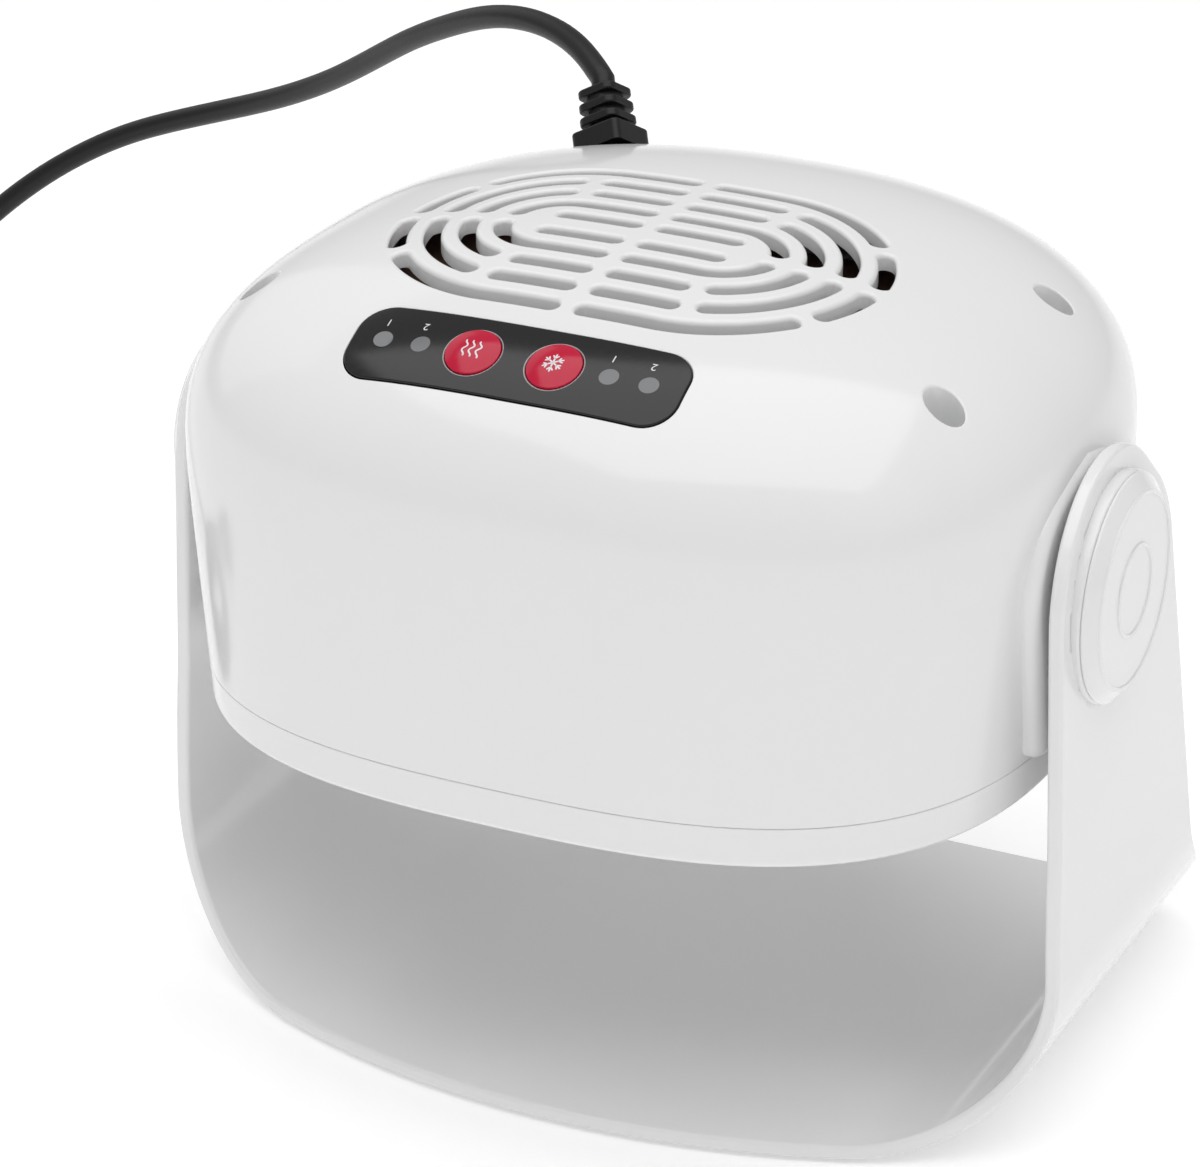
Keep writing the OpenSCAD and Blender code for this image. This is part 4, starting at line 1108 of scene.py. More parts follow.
@dataclass
class Gland:
    """The ribbed gland with its square flange."""

    form: HeadForm
    foot: tuple[float, float] = (-51.5, 79.0)
    back: float = 33.0
    side: float = 28.0
    length: float = 16.5
    radius: float = 7.4
    flange: float = 15.0
    flange_t: float = 4.5
    tiers: int = 3
    tier: float = 12.2

    @property
    def frame(self) -> TiltedFrame:
        """The gland's own frame on the dome."""
        return turned_frame(self.form, self.foot, -self.back, -self.side)

    def seat(self) -> np.ndarray:
        """Outline of the gland's seat in the housing, in plan."""
        return self.frame.on_dome(rounded_rect(self.flange + 0.3, self.flange + 0.3, 1.8, 1.0))[:, :2]

    def flange_skin(self, spots: np.ndarray) -> tuple:
        """The flange's flat face as a plate's skin."""
        f = self.frame
        place = f.origin + spots[:, :1] * f.axis_x + spots[:, 1:] * f.axis_y + self.flange_t * f.axis_z
        ones = np.ones((len(spots), 1))
        return place, ones * f.axis_z, -ones * f.axis_z, ones * f.axis_x, ones * f.axis_y


def join_rows(shape: Shape, rows: Sequence[tuple], sharp_at: Iterable[int] = ()) -> None:
    """Joins rings in order, each below or outside the one before.

    Args:
        shape: Shape that gets the strips.
        rows: Pairs of point numbers and normals, from a plate's face round to its back.
        sharp_at: Places in rows where the strip after takes the next row's normals.
    """
    for k in range(len(rows) - 1):
        (upper, n_upper), (lower, n_lower) = rows[k], rows[k + 1]
        if k in sharp_at:
            n_upper = n_lower
        shape.add_strip(lower, upper, n_lower, n_upper)


@dataclass
class Housing:
    """The head's upper shell: dome, wall, vent, wells and pivot pads."""

    form: HeadForm
    vent: Vent
    panel: ControlPanel
    gland: Gland
    count: int = 336
    border_angle: float = 24.0
    well: float = 4.85
    well_x: float = 90.0
    well_y: float = -3.2
    well_pitch: float = 69.8
    well_wall: float = 1.8
    well_web: float = 2.4
    well_floor: float = 184.0
    seam_round: float = 0.12
    pad_x: float = 113.29
    pad_foot: float = 96.0
    pad_soft: float = 3.6
    pad_corner: float = 4.2
    pivot_z: float = 139.0

    def wells(self) -> list:
        """Middles of the four screw wells, in plan."""
        half = self.well_pitch / 2
        return [(sx * self.well_x, self.well_y + sy * half) for sx in (-1, 1) for sy in (-1, 1)]

    def openings(self) -> list:
        """All openings of the shell, as rounded edges in plan."""
        cups = [Edge(np.array([spot]), 0.6, self.well) for spot in self.wells()]
        seats = [Edge(line, 0.35, closed=True) for line in (self.panel.pocket(), self.gland.seat())]
        return self.vent.edges() + cups + seats

    def build(self, material: Material) -> Object:
        """Builds the shell as one closed mesh.

        Args:
            material: The shell's finish.

        Returns:
            The shell's object.
        """
        shape = Shape()
        form = self.form
        turn = form.turns(self.count)
        start = math.radians(self.border_angle)
        border = form.dome_row(turn, start)[0][:, :2]
        rows_y, columns = np.arange(-110, 130, 2.2), np.arange(-112, 112, 2.5)
        grid = np.array([[x + (k % 2) * 1.25, y] for k, y in enumerate(rows_y) for x in columns])
        limit = math.cos(start) ** (2 / form.full)
        fillers = grid[form.share(grid[:, 0], grid[:, 1])[0] < limit - 0.012]
        plate = Plate(form.skin, form.shell, self.openings(), border, fillers, extra=self.vent.rib_rise)
        rim = plate.build(shape)
        outer = [(rim["top"], rim["normal"])]
        placed = []
        for a in np.linspace(start, 0, 13)[1:]:
            placed.append(form.dome_row(turn, float(a)))
        under_shoulder = np.linspace(form.shoulder, form.shoulder - 12, 7)[1:]
        for z in np.concatenate([under_shoulder, np.linspace(140, form.seam + self.seam_round, 7)]):
            placed.append(form.wall_row(turn, float(z)))
        for points, normals in placed:
            outer.append((shape.add_points(points), normals))
        last, out = placed[-1]
        down = np.array([0, 0, -1.0])
        for a in np.radians([30, 60, 90]):
            points = last - out * self.seam_round * (1 - math.cos(a)) + down * self.seam_round * math.sin(a)
            outer.append((shape.add_points(points), unit(out * math.cos(a) + down * math.sin(a))))
        join_rows(shape, outer)
        inner = [(outer[-1][0], np.tile(down, (self.count, 1)))]
        back = [(form.wall_row(turn, form.seam, form.shell))] + [
            (p - n * form.shell, n) for p, n in reversed(placed[:-1])
        ]
        for points, normals in back:
            inner.append((shape.add_points(points), -normals))
        inner.append((rim["low"], -rim["normal"]))
        join_rows(shape, inner, sharp_at=[1])
        self.add_wells(shape)
        self.add_pads(shape)
        return shape.to_object("head_housing", [material])

    def add_wells(self, shape: Shape, count: int = 48) -> None:
        """Adds the cups of the screw wells.

        Args:
            shape: Shape that gets the faces.
            count: Points round each well.
        """
        floor, under = self.well_floor, self.well_floor - self.well_web
        up = np.tile([0, 0, 1.0], (count, 1))
        for spot in self.wells():
            ring = circle(spot, self.well, count)
            wide = circle(spot, self.well + self.well_wall, count)
            around = np.column_stack([unit(ring - ring.mean(0)), np.zeros(count)])
            levels = []
            for flat, z in ((ring, None), (ring, floor), (wide, under), (wide, None)):
                top = self.form.height(flat[:, 0], flat[:, 1]) - self.form.shell + 0.3
                heights = top if z is None else np.full(count, z)
                levels.append(shape.add_points(np.column_stack([flat, heights])))
            shape.add_strip(levels[0], levels[1], -around, -around)
            shape.add_strip(levels[2], levels[3], around, around)
            shape.add_strip(levels[3], levels[0], up, up)
            shape.add_cap(levels[1], (*spot, floor), (0, 0, 1), False)
            shape.add_cap(levels[2], (*spot, under), (0, 0, -1), True)

    def add_pads(self, shape: Shape) -> None:
        """Adds the pads that face the arms, drawn down to the seam as the mould needs.

        Args:
            shape: Shape that gets the faces.
        """
        rise = [33.4, 31.6, 27.9, 22.6, 14.8, 7.7, -0.5, -17.3, -32.8]
        half = [0.0, 10.6, 21.6, 28.8, 33.6, 34.6, 33.7, 30.2, 27.1]
        soft, corner = self.pad_soft, self.pad_corner
        flank = smooth_route(np.stack([np.array(half), np.array(rise)], 1), 6)
        turn = np.radians(np.arange(-10, -91, -10))
        heel = flank[-1] + np.stack([corner * (np.cos(turn) - 1), corner * np.sin(turn)], 1)
        fine = resample(np.vstack([flank, heel, [[0.0, heel[-1, 1]]]]), 1.2)
        outline = np.vstack([fine, (fine * [-1, 1])[::-1][1:-1]])
        count = len(outline)
        out = unit(np.roll(outline, 1, 0) - np.roll(outline, -1, 0))[:, ::-1] * [1, -1]
        for side in (-1, 1):
            rows = []
            stages = [(self.pad_foot, 0.0)]
            stages += [(self.pad_x - soft + soft * math.sin(a), a) for a in np.radians(np.arange(0, 91, 10))]
            for x, a in stages:
                flat = outline - out * soft * (1 - math.cos(a))
                points = np.column_stack([np.full(count, side * x), flat[:, 0], flat[:, 1] + self.pivot_z])
                normal = np.column_stack([np.full(count, side * math.sin(a)), out * math.cos(a)])
                rows.append((shape.add_points(points), normal))
            for (low, n_low), (high, n_high) in zip(rows, rows[1:]):
                pair = (high, low, n_high, n_low) if side > 0 else (low, high, n_low, n_high)
                shape.add_strip(*pair)
            middle = shape.add_points(np.array([[side * self.pad_x, 0.0, self.pivot_z]]))[0]
            ring = rows[-1][0]
            for i in range(count):
                j = (i + 1) % count
                corners = [ring[j], ring[i], middle] if side > 0 else [ring[i], ring[j], middle]
                shape.add_face(corners, [(side, 0, 0)] * 3)


@dataclass
class BottomCover:
    """The head's lower shell with its outlet opening."""

    form: HeadForm
    count: int = 336
    round_low: float = 2.0
    lip_round: float = 0.35
    seam_gap: float = 0.15
    outlet: tuple[float, float] = (150.0, 92.0)
    centre_y: float = -11.0

    def skin(self, spots: np.ndarray) -> tuple:
        """The underside as a plate's skin."""
        return level_skin(spots, self.form.bottom, -1)

    def build(self, material: Material) -> Object:
        """Builds the cover as one closed mesh.

        Args:
            material: The cover's finish.

        Returns:
            The cover's object.
        """
        shape = Shape()
        form = self.form
        turn = form.turns(self.count)[::-1]
        low = form.bottom + self.round_low
        base = form.wall_inset(low) + self.round_low
        border = form.outline(turn, base) * [1, -1]
        half = (self.outlet[0] - self.outlet[1]) / 2
        path = resample(np.array([[-half, -self.centre_y], [half, -self.centre_y]]), 3.0)
        hole = Edge(path, 0.4, self.outlet[1] / 2, back_fillet=0.3)
        rim = Plate(self.skin, form.shell, [hole], border, None, step=3.0).build(shape)
        rows = [(rim["top"], rim["normal"])]
        down = np.array([0, 0, -1.0])
        centre, out = form.wall_row(turn, low, self.round_low)
        for a in np.radians([18, 36, 54, 72, 90]):
            points = centre + out * self.round_low * math.sin(a) + down * self.round_low * math.cos(a)
            rows.append((shape.add_points(points), unit(out * math.sin(a) + down * math.cos(a))))
        top = form.seam - self.seam_gap
        small = self.lip_round
        for z in np.linspace(low + 1, top - small, 4):
            points, normals = form.wall_row(turn, float(z))
            rows.append((shape.add_points(points), normals))
        last, out = form.wall_row(turn, top - small)
        for a in np.radians([30, 60, 90]):
            points = last - out * small * (1 - math.cos(a)) - down * small * math.sin(a)
            rows.append((shape.add_points(points), unit(out * math.cos(a) - down * math.sin(a))))
        join_rows(shape, rows)
        lip, lip_out = form.wall_row(turn, top, form.shell)
        under, under_out = form.wall_row(turn, form.bottom + form.shell, form.shell)
        inner = [
            (rows[-1][0], np.tile(-down, (self.count, 1))),
            (shape.add_points(lip), -lip_out),
            (shape.add_points(under), -under_out),
            (rim["low"], np.tile(-down, (self.count, 1))),
        ]
        shape.add_strip(inner[1][0], inner[0][0], inner[0][1], inner[0][1])
        shape.add_strip(inner[2][0], inner[1][0], inner[2][1], inner[1][1])
        shape.add_strip(inner[3][0], inner[2][0], inner[3][1], inner[3][1])
        return shape.to_object("head_bottom_cover", [material])


# ---------- Cradle and pivots ----------


def pivot_axis(side: int, z: float) -> Matrix:
    """Frame of the tilt axis at height z; +Z runs outwards on the given side."""
    return Matrix.Translation((0, 0, z)) @ Matrix.Rotation(side * math.pi / 2, 4, "Y")


@dataclass
class Cradle:
    """The one-piece U: a bent plate with rounded rims, and a boss on each arm."""

    width: float = 249.0
    wall: float = 3.8
    bend: float = 45.0
    lean: float = 2.0
    floor_front: float = 74.0
    bow: float = 40.0
    eye: float = 34.2
    heel_back: float = 9.0
    heel_drop: float = 8.0
    rear_slope: float = 11.8
    flare: float = 31.0
    flare_z: float = 48.0
    foot: float = 1.2
    pivot_z: float = 139.0
    rim_round: float = 1.15
    boss: float = 28.5
    boss_round: float = 0.8
    boss_face: float = 121.69
    bearing_face: float = 115.09
    web_face: float = 118.69
    bore: float = 11.0
    cap_seat: float = 23.6

    @property
    def bend_x(self) -> float:
        """Sideways place of the bend's centre."""
        slope = math.tan(math.radians(self.lean))
        return self.width / 2 - slope * self.bend - self.bend * math.hypot(1, slope)

    @property
    def bend_turn(self) -> float:
        """Turn of the bend, from the floor to the arm, in radians."""
        return math.radians(90 + self.lean)

    def section(self, s: np.ndarray) -> tuple[np.ndarray, np.ndarray]:
        """The outer face's section, from the middle of the floor to the right.

        Args:
            s: Lengths along the section, negative on the left.

        Returns:
            Rows of x, z and the outward normals in that plane.
        """
        side, run = np.where(s < 0, -1.0, 1.0), np.abs(s)
        turn = np.clip((run - self.bend_x) / self.bend, 0, self.bend_turn)
        x = np.minimum(run, self.bend_x) + self.bend * np.sin(turn)
        z = self.foot + self.bend * (1 - np.cos(turn))
        rest = np.maximum(run - self.bend_x - self.bend * self.bend_turn, 0)
        x = x + rest * math.cos(self.bend_turn)
        z = z + rest * math.sin(self.bend_turn)
        return np.stack([side * x, z], 1), np.stack([side * np.sin(turn), -np.cos(turn)], 1)

    def along(self, z: float) -> float:
        """Length along the section at a height."""
        top = self.foot + self.bend * (1 - math.cos(self.bend_turn))
        if z > top:
            return self.bend_x + self.bend * self.bend_turn + (z - top) / math.sin(self.bend_turn)
        return self.bend_x + self.bend * math.acos(1 - max(z - self.foot, 0) / self.bend)

    def front_y(self, s: np.ndarray) -> np.ndarray:
        """The front rim: the bow of the floor, eased into the arm's front edge.

        Args:
            s: Lengths along the section.

        Returns:
            Place of the rim along y.
        """
        place = self.section(s)[0]
        radius = (self.width**2 / 4 + self.bow**2) / (2 * self.bow)
        bow = radius - self.floor_front - np.sqrt(radius**2 - place[:, 0] ** 2)
        z = place[:, 1]
        low, high = -self.floor_front - 1, -self.eye
        side = np.interp(z, [0, 23.1, 46.2, 84.8, self.pivot_z], [low, low, high - 2.5, high, high])
        gap = bow - side
        return (bow + side + np.sqrt(gap**2 + 1.0)) / 2

    def outline(self) -> np.ndarray:
        """Outline of the flattened plate: length along the section, and -y."""
        heel = np.array([self.heel_back, self.pivot_z - self.heel_drop])
        up = math.atan2(self.heel_back, self.heel_drop)
        slope = math.radians(self.rear_slope)
        reach = self.along(self.pivot_z - 20)
        front_s = np.linspace(0, reach, 160)
        right = [[s, -y] for s, y in zip(front_s, self.front_y(front_s))]
        for centre, a, b in (((0.0, self.pivot_z), math.pi, up), (tuple(heel), up, slope)):
            for t in np.linspace(a, b, 40):
                y, z = centre[0] + self.eye * math.cos(t), centre[1] + self.eye * math.sin(t)
                right.append([self.along(z), -y])
        rear = heel + self.eye * np.array([math.cos(slope), math.sin(slope)])
        for z in np.concatenate([np.linspace(rear[1], 50, 30), np.linspace(50, self.foot, 60)[1:]])[1:]:
            t = min(max(1.12 * (self.flare_z - z) / (self.flare_z - self.foot), 0), 1)
            flare = self.flare * t * t * (3 - 2 * t)
            right.append([self.along(float(z)), -(rear[0] + math.tan(slope) * (rear[1] - z) + flare)])
        right.append([0.0, right[-1][1]])
        line = np.array(right)
        whole = np.vstack([line, (line * [-1, 1])[::-1][1:-1]])
        area = (whole[:, 0] * np.roll(whole[:, 1], -1) - whole[:, 1] * np.roll(whole[:, 0], -1)).sum()
        return resample(whole if area > 0 else whole[::-1], 1.6, closed=True)

    def skin(self, spots: np.ndarray) -> tuple:
        """The outer face as a plate's skin.

        Args:
            spots: Rows of the length along the section and -y.

        Returns:
            Points, outward normals, the direction of depth and both tangents.
        """
        place, normal = self.section(spots[:, 0])
        none = np.zeros(len(spots))
        points = np.stack([place[:, 0], -spots[:, 1], place[:, 1]], 1)
        out = np.stack([normal[:, 0], none, normal[:, 1]], 1)
        along = np.stack([-normal[:, 1], none, normal[:, 0]], 1)
        return points, out, -out, along, np.tile([0, -1.0, 0], (len(spots), 1))

    def build(self, material: Material) -> Object:
        """Builds the cradle with its bosses.

        Args:
            material: The cradle's finish.

        Returns:
            The cradle's object.
        """
        shape = Shape()
        outline = self.outline()
        rim = Edge(outline, self.rim_round, closed=True, rim=True, back_fillet=self.rim_round)
        eye = self.along(self.pivot_z)
        holes = [Edge(np.array([[side * eye, 0.0]]), 0.01, self.boss - 3) for side in (-1, 1)]
        low, high = outline.min(0), outline.max(0)
        rows, columns = np.arange(low[1], high[1], 3.0), np.arange(low[0], high[0], 3.2)
        grid = np.array([[x + (k % 2) * 1.6, y] for k, y in enumerate(rows) for x in columns])
        fillers = grid[self.within(grid, outline)]
        Plate(self.skin, self.wall, [rim, *holes], fillers=fillers, step=1.6).build(shape)
        for side in (-1, 1):
            place = pivot_axis(side, self.pivot_z)
            soft, inner = self.boss_round, self.boss_round / 2
            profile = [
                [self.bore, self.bearing_face],
                *arc((self.boss - inner, self.bearing_face + inner), inner, -90, 0, 4),
                *arc((self.boss - soft, self.boss_face - soft), soft, 0, 90),
                [self.cap_seat, self.boss_face],
                [self.cap_seat, self.web_face],
                [self.bore, self.web_face],
                [self.bore, self.bearing_face],
            ]
            lathe(shape, profile, place, 144)
        return shape.to_object("cradle", [material])

    @staticmethod
    def within(spots: np.ndarray, outline: np.ndarray) -> np.ndarray:
        """Which points lie inside a closed line.

        Args:
            spots: The points.
            outline: Points of the line.

        Returns:
            True for each point inside.
        """
        inside = np.zeros(len(spots), bool)
        for a, b in zip(outline, np.roll(outline, -1, 0)):
            crosses = (a[1] > spots[:, 1]) != (b[1] > spots[:, 1])
            if crosses.any():
                x = a[0] + (spots[:, 1] - a[1]) * (b[0] - a[0]) / (b[1] - a[1] + 1e-12)
                inside ^= crosses & (spots[:, 0] < x)
        return inside


@dataclass
class PivotCap:
    """The round cover cap of one pivot."""

    rim: float = 28.2
    radius: float = 24.6
    foot: float = 121.69
    face: float = 124.99
    ring: float = 11.8
    bead: float = 0.45
    bead_w: float = 1.1
    skirt: float = 23.4
    web_face: float = 118.69
    pivot_z: float = 139.0

    def raised_bead(self, radius: float) -> list:
        """Section of a fine round bead whose outside has the given radius."""
        turn = np.radians(np.linspace(0, 180, 9))
        middle = radius - self.bead_w / 2
        return [[middle + self.bead_w / 2 * math.cos(t), self.face + self.bead * math.sin(t)] for t in turn]

    def build(self, side: int, material: Material) -> Object:
        """Builds the cap on one side.

        Args:
            side: -1 for the left arm, 1 for the right.
            material: The cap's finish.

        Returns:
            The cap's object.
        """
        shape = Shape()
        profile = [
            [self.skirt - 1.8, self.web_face],
            [self.skirt, self.web_face],
            [self.skirt, self.foot + 0.1],
            [self.rim - 0.2, self.foot + 0.1],
            *arc((self.rim - 0.4, self.foot + 0.5), 0.4, -60, 60, 6),
            [self.radius + 0.1, self.face],
            *self.raised_bead(self.radius),
            *self.raised_bead(self.ring),
            [0, self.face],
        ]
        place = pivot_axis(side, self.pivot_z)
        lathe(shape, profile, place, 144)
        inner = [[self.skirt - 1.8, self.web_face], [self.skirt - 1.8, self.face - 1.8], [0, self.face - 1.8]]
        lathe(shape, inner[::-1], place, 144)
        return shape.to_object("pivot_cap_" + ("right" if side > 0 else "left"), [material])


# ---------- Pieces that repeat, by Geometry Nodes ----------


@dataclass
class Repeater:
    """A Geometry Nodes tree that sets copies of one small shape on given spots."""

    name: str
    material: Material

    def tree(self) -> NodeTree:
        """Builds the tree: points to instances, turned and scaled by their attributes.

        Returns:
            The node tree, with named inputs for part and size.
        """
        tree = bpy.data.node_groups.new(self.name, "GeometryNodeTree")
        tree.interface.new_socket("Spots", in_out="INPUT", socket_type="NodeSocketGeometry")
        tree.interface.new_socket("Part", in_out="INPUT", socket_type="NodeSocketObject")
        tree.interface.new_socket("Size", in_out="INPUT", socket_type="NodeSocketFloat")
        tree.interface.new_socket("Pieces", in_out="OUTPUT", socket_type="NodeSocketGeometry")
        source = add_node(tree, "NodeGroupInput")
        made = add_node(tree, "GeometryNodeObjectInfo", {}, {"Object": source.outputs["Part"]})
        named = "GeometryNodeInputNamedAttribute"
        turn = add_node(tree, named, {"data_type": "FLOAT_VECTOR", "Name": "turn"})
        scale = add_node(tree, named, {"data_type": "FLOAT", "Name": "scale"})
        size = add_node(
            tree,
            "ShaderNodeMath",
            {"operation": "MULTIPLY"},
            {0: scale.outputs[0], 1: source.outputs["Size"]},
        )
        place = add_node(
            tree,
            "GeometryNodeInstanceOnPoints",
            {},
            {
                "Points": source.outputs["Spots"],
                "Instance": made.outputs["Geometry"],
                "Rotation": turn.outputs[0],
                "Scale": size.outputs[0],
            },
        )
        real = add_node(tree, "GeometryNodeRealizeInstances", {}, {"Geometry": place.outputs[0]})
        coat = add_node(
            tree, "GeometryNodeSetMaterial", {"Material": self.material}, {"Geometry": real.outputs[0]}
        )
        add_node(tree, "NodeGroupOutput", {}, {0: coat.outputs[0]})
        return tree

    def build(
        self, part: Shape, spots: np.ndarray, turns: np.ndarray, scales: np.ndarray, size: float = 1.0
    ) -> Object:
        """Runs the tree and bakes its result to a plain mesh.

        Args:
            part: The small shape, drawn about its own foot in millimetres.
            spots: Where the copies stand, in millimetres.
            turns: Euler angles of each copy.
            scales: Size of each copy.
            size: Size of all copies together.

        Returns:
            The object with the copies as one mesh.
        """
        seed = bpy.data.meshes.new(self.name + "_part")
        seed.from_pydata((np.array(part.points) * MM).tolist(), [], part.faces)
        seed.polygons.foreach_set("use_smooth", [True] * len(part.faces))
        seed.update()
        seed.normals_split_custom_set(part.normals)
        one = bpy.data.objects.new(self.name + "_part", seed)
        cloud = bpy.data.meshes.new(self.name + "_spots")
        cloud.from_pydata(place_points(spots).tolist(), [], [])
        turned = cloud.attributes.new("turn", "FLOAT_VECTOR", "POINT")
        turned.data.foreach_set("vector", np.ravel(turns).tolist())
        scaled = cloud.attributes.new("scale", "FLOAT", "POINT")
        scaled.data.foreach_set("value", np.ravel(scales).tolist())
        holder = bpy.data.objects.new(self.name + "_spots", cloud)
        link(one)
        link(holder)
        modifier = holder.modifiers.new("repeat", "NODES")
        tree = self.tree()
        modifier.node_group = tree
        sockets = {s.name: s.identifier for s in tree.interface.items_tree if s.in_out == "INPUT"}
        modifier[sockets["Part"]] = one
        modifier[sockets["Size"]] = size
        mesh = evaluated_mesh(holder)
        holder.modifiers.remove(modifier)
        made = bpy.data.objects.new(self.name, mesh)
        link(made)
        for item in (one, holder):
            bpy.data.objects.remove(item)
        return made


def euler_of(matrix: Matrix) -> list:
    """Euler angles of a frame's turn."""
    return list(matrix.to_euler())


def build_feet(material: Material) -> Object:
    """Builds the four rubber feet with a rounded tread.

    Args:
        material: Their finish.

    Returns:
        The feet as one object.
    """
    part = Shape()
    radius, soft, top = 7.0, 0.6, 2.1
    tread = [[0, 0.25], [5.2, 0.25], [5.6, 0], *arc((radius - soft, soft), soft, -90, 0, 5)]
    lathe(part, [*tread, [radius, top], [0, top]], Matrix(), 64)
    spots = np.array([[x, y, 0.0] for x in (-72, 72) for y in (-40, 48)])
    return Repeater("feet_rubber", material).build(part, spots, np.zeros((4, 3)), np.ones(4))


def build_fan_board(material: Material) -> Object:
    """Builds the laminate board on top of the fan frame, open over the blades.

    Args:
        material: The board's finish.

    Returns:
        The board's object.
    """
    length, depth, middle_y, level, thick = 156.0, 97.0, 1.5, 190.4, 1.6
    corner, step = 12.0, 1.5
    fan_middle, fan_opening = np.array([[20.0, -2.0]]), 42.0
    rim = rounded_rect(length, depth, corner, step) + [0, middle_y]

    shape = Shape()
    edges = [Edge(rim, 0.15, closed=True, rim=True), Edge(fan_middle, 0.15, fan_opening)]
    Plate(lambda spots: level_skin(spots, level, 1), thick, edges, step=step).build(shape)
    return shape.to_object("fan_top_board", [material])


def add_tier(shape: Shape, side: float, thick: float, soft: float) -> None:
    """Adds a soft-edged square slab with round corners, its foot at the origin.

    Args:
        shape: Shape that gets the faces.
        side: Side of the square.
        thick: Its thickness.
        soft: Radius of its edges.
    """
    outline = rounded_rect(side, side, 2.8, 0.5)
    out = unit(np.roll(outline, -1, 0) - np.roll(outline, 1, 0))[:, ::-1] * [1, -1]
    count = len(outline)
    rows = []
    for base, angles in ((soft, (-90, -60, -30, 0)), (thick - soft, (0, 30, 60, 90))):
        for a in np.radians(angles):
            flat = outline - out * soft * (1 - math.cos(a))
            points = np.column_stack([flat, np.full(count, base + soft * math.sin(a))])
            normal = np.column_stack([out * math.cos(a), np.full(count, math.sin(a))])
            rows.append((shape.add_points(points), normal))
    for (low, n_low), (high, n_high) in zip(rows, rows[1:]):
        shape.add_strip(low, high, n_low, n_high)
    shape.add_cap(rows[0][0], (0, 0, 0), (0, 0, -1), True)
    shape.add_cap(rows[-1][0], (0, 0, thick), (0, 0, 1), False)


def build_gland(gland: Gland, material: Material) -> list:
    """Builds the gland's flange and sleeve, and its tiers of rings.

    Args:
        gland: Sizes and place of the gland.
        material: Its finish.

    Returns:
        The flange object and the rings object.
    """
    shape = Shape()
    rim = Edge(rounded_rect(gland.flange, gland.flange, 1.5, 0.8), 0.6, closed=True, rim=True)
    side = gland.flange / 2
    steps = np.arange(-side + 1.2, side, 1.6)
    grid = np.stack(np.meshgrid(steps, steps), -1).reshape(-1, 2)
    Plate(gland.flange_skin, gland.flange_t + 1.4, [rim], fillers=grid, step=0.8).build(shape)
    matrix = gland.frame.matrix()
    core = gland.radius - 2.7
    top = gland.length
    sleeve = [[core + 0.7, gland.flange_t - 0.1], [core + 0.1, gland.flange_t + 0.5], [core, top - 0.6]]
    sleeve += [*arc((core - 0.6, top - 0.6), 0.6, 0, 90, 5), [3.26, top], [3.26, top - 3]]
    lathe(shape, sleeve, matrix, 64)
    body = shape.to_object("gland_flange", [material])
    part = Shape()
    tier = (gland.length - gland.flange_t) / gland.tiers
    thick = tier * 0.58
    soft = 0.55
    add_tier(part, gland.tier, thick, soft)
    axis = gland.frame.axis_z
    starts = [gland.flange_t + k * tier + tier * 0.4 for k in range(gland.tiers)]
    spots = np.array([gland.frame.origin + axis * h for h in starts])
    turns = np.tile(euler_of(matrix), (gland.tiers, 1))
    scales = np.array([1 - 0.033 * k for k in range(gland.tiers)])
    rings = Repeater("gland_rings", material).build(part, spots, turns, scales)
    return [body, rings]


# ---------- Mains lead ----------


@dataclass
class MainsLead:
    """The mains lead's route, its loose stretch and coil, and the sizes of its plug."""

    gland: Gland
    diameter: float = 6.4
    coil_in: float = 25.4
    coil_pitch: float = 7.2
    coil_turns: int = 5
    coil_soft: float = 0.15
    tail: float = 28.0
    relief_l: float = 22.0
    relief_r: float = 4.4
    plug_w: float = 25.0
    plug_l: float = 33.0
    loose: tuple = (
        (-64, 94.5, 217.5), (-72, 100, 219.5), (-82, 106, 220.5), (-94, 112, 220), (-106, 118, 217),
        (-118, 125, 212), (-130, 132, 206), (-142, 139, 200), (-153, 146, 193), (-164, 153, 186),
        (-175, 159, 179), (-187, 166, 172), (-199, 171, 166), (-212, 176, 160), (-225, 180, 155),
        (-239, 182, 150), (-253, 183, 145), (-267, 183, 140), (-280, 181, 133), (-292, 178, 126),
        (-303, 174, 117), (-313, 168, 108), (-321, 161, 97), (-328, 153, 87), (-333, 143, 77),
        (-337, 133, 67), (-340, 122, 57), (-343, 111, 48), (-345, 100, 39), (-346, 88, 30),
        (-347, 75, 22), (-348, 62, 15), (-349, 48, 9), (-350, 34, 5.5), (-350, 20, 4.4), (-350, 10, 4.4),
    )

    @property
    def tip(self) -> np.ndarray:
        """Where the lead leaves the gland."""
        return self.gland.frame.origin + self.gland.length * self.gland.frame.axis_z

    def lead_points(self) -> np.ndarray:
        """Points of the loose stretch."""
        return np.vstack([[self.tip], [self.tip + 4 * self.gland.frame.axis_z], np.array(self.loose, float)])

    def reach(self, turn: np.ndarray) -> np.ndarray:
        """Radius of the coil at a turn in degrees."""
        back = (turn - 180 * self.coil_turns) / 360
        return self.coil_in + self.coil_pitch * (np.sqrt(back**2 + self.coil_soft**2) - self.coil_soft)

    def coil_points(self) -> np.ndarray:
        """Points of the coil, in on the table, up a layer and out again."""
        end = np.array(self.loose[-1], float)
        middle = end[:2] + [float(self.reach(np.array(0.0))), -self.diameter]
        turn = np.arange(0, 360 * self.coil_turns + 1, 15.0)
        share = np.clip((turn - 180 * self.coil_turns + 90) / 180, 0, 1)
        lift = self.coil_pitch * share**2 * (3 - 2 * share)
        angle = np.radians(180 + turn)
        r = self.reach(turn)
        ring = np.stack([middle[0] + r * np.cos(angle), middle[1] + r * np.sin(angle), end[2] + lift], 1)
        tail = [ring[-1] - [0, self.tail / 2, 0], ring[-1] - [0, self.tail, 0]]
        return np.vstack([[end], ring, tail])


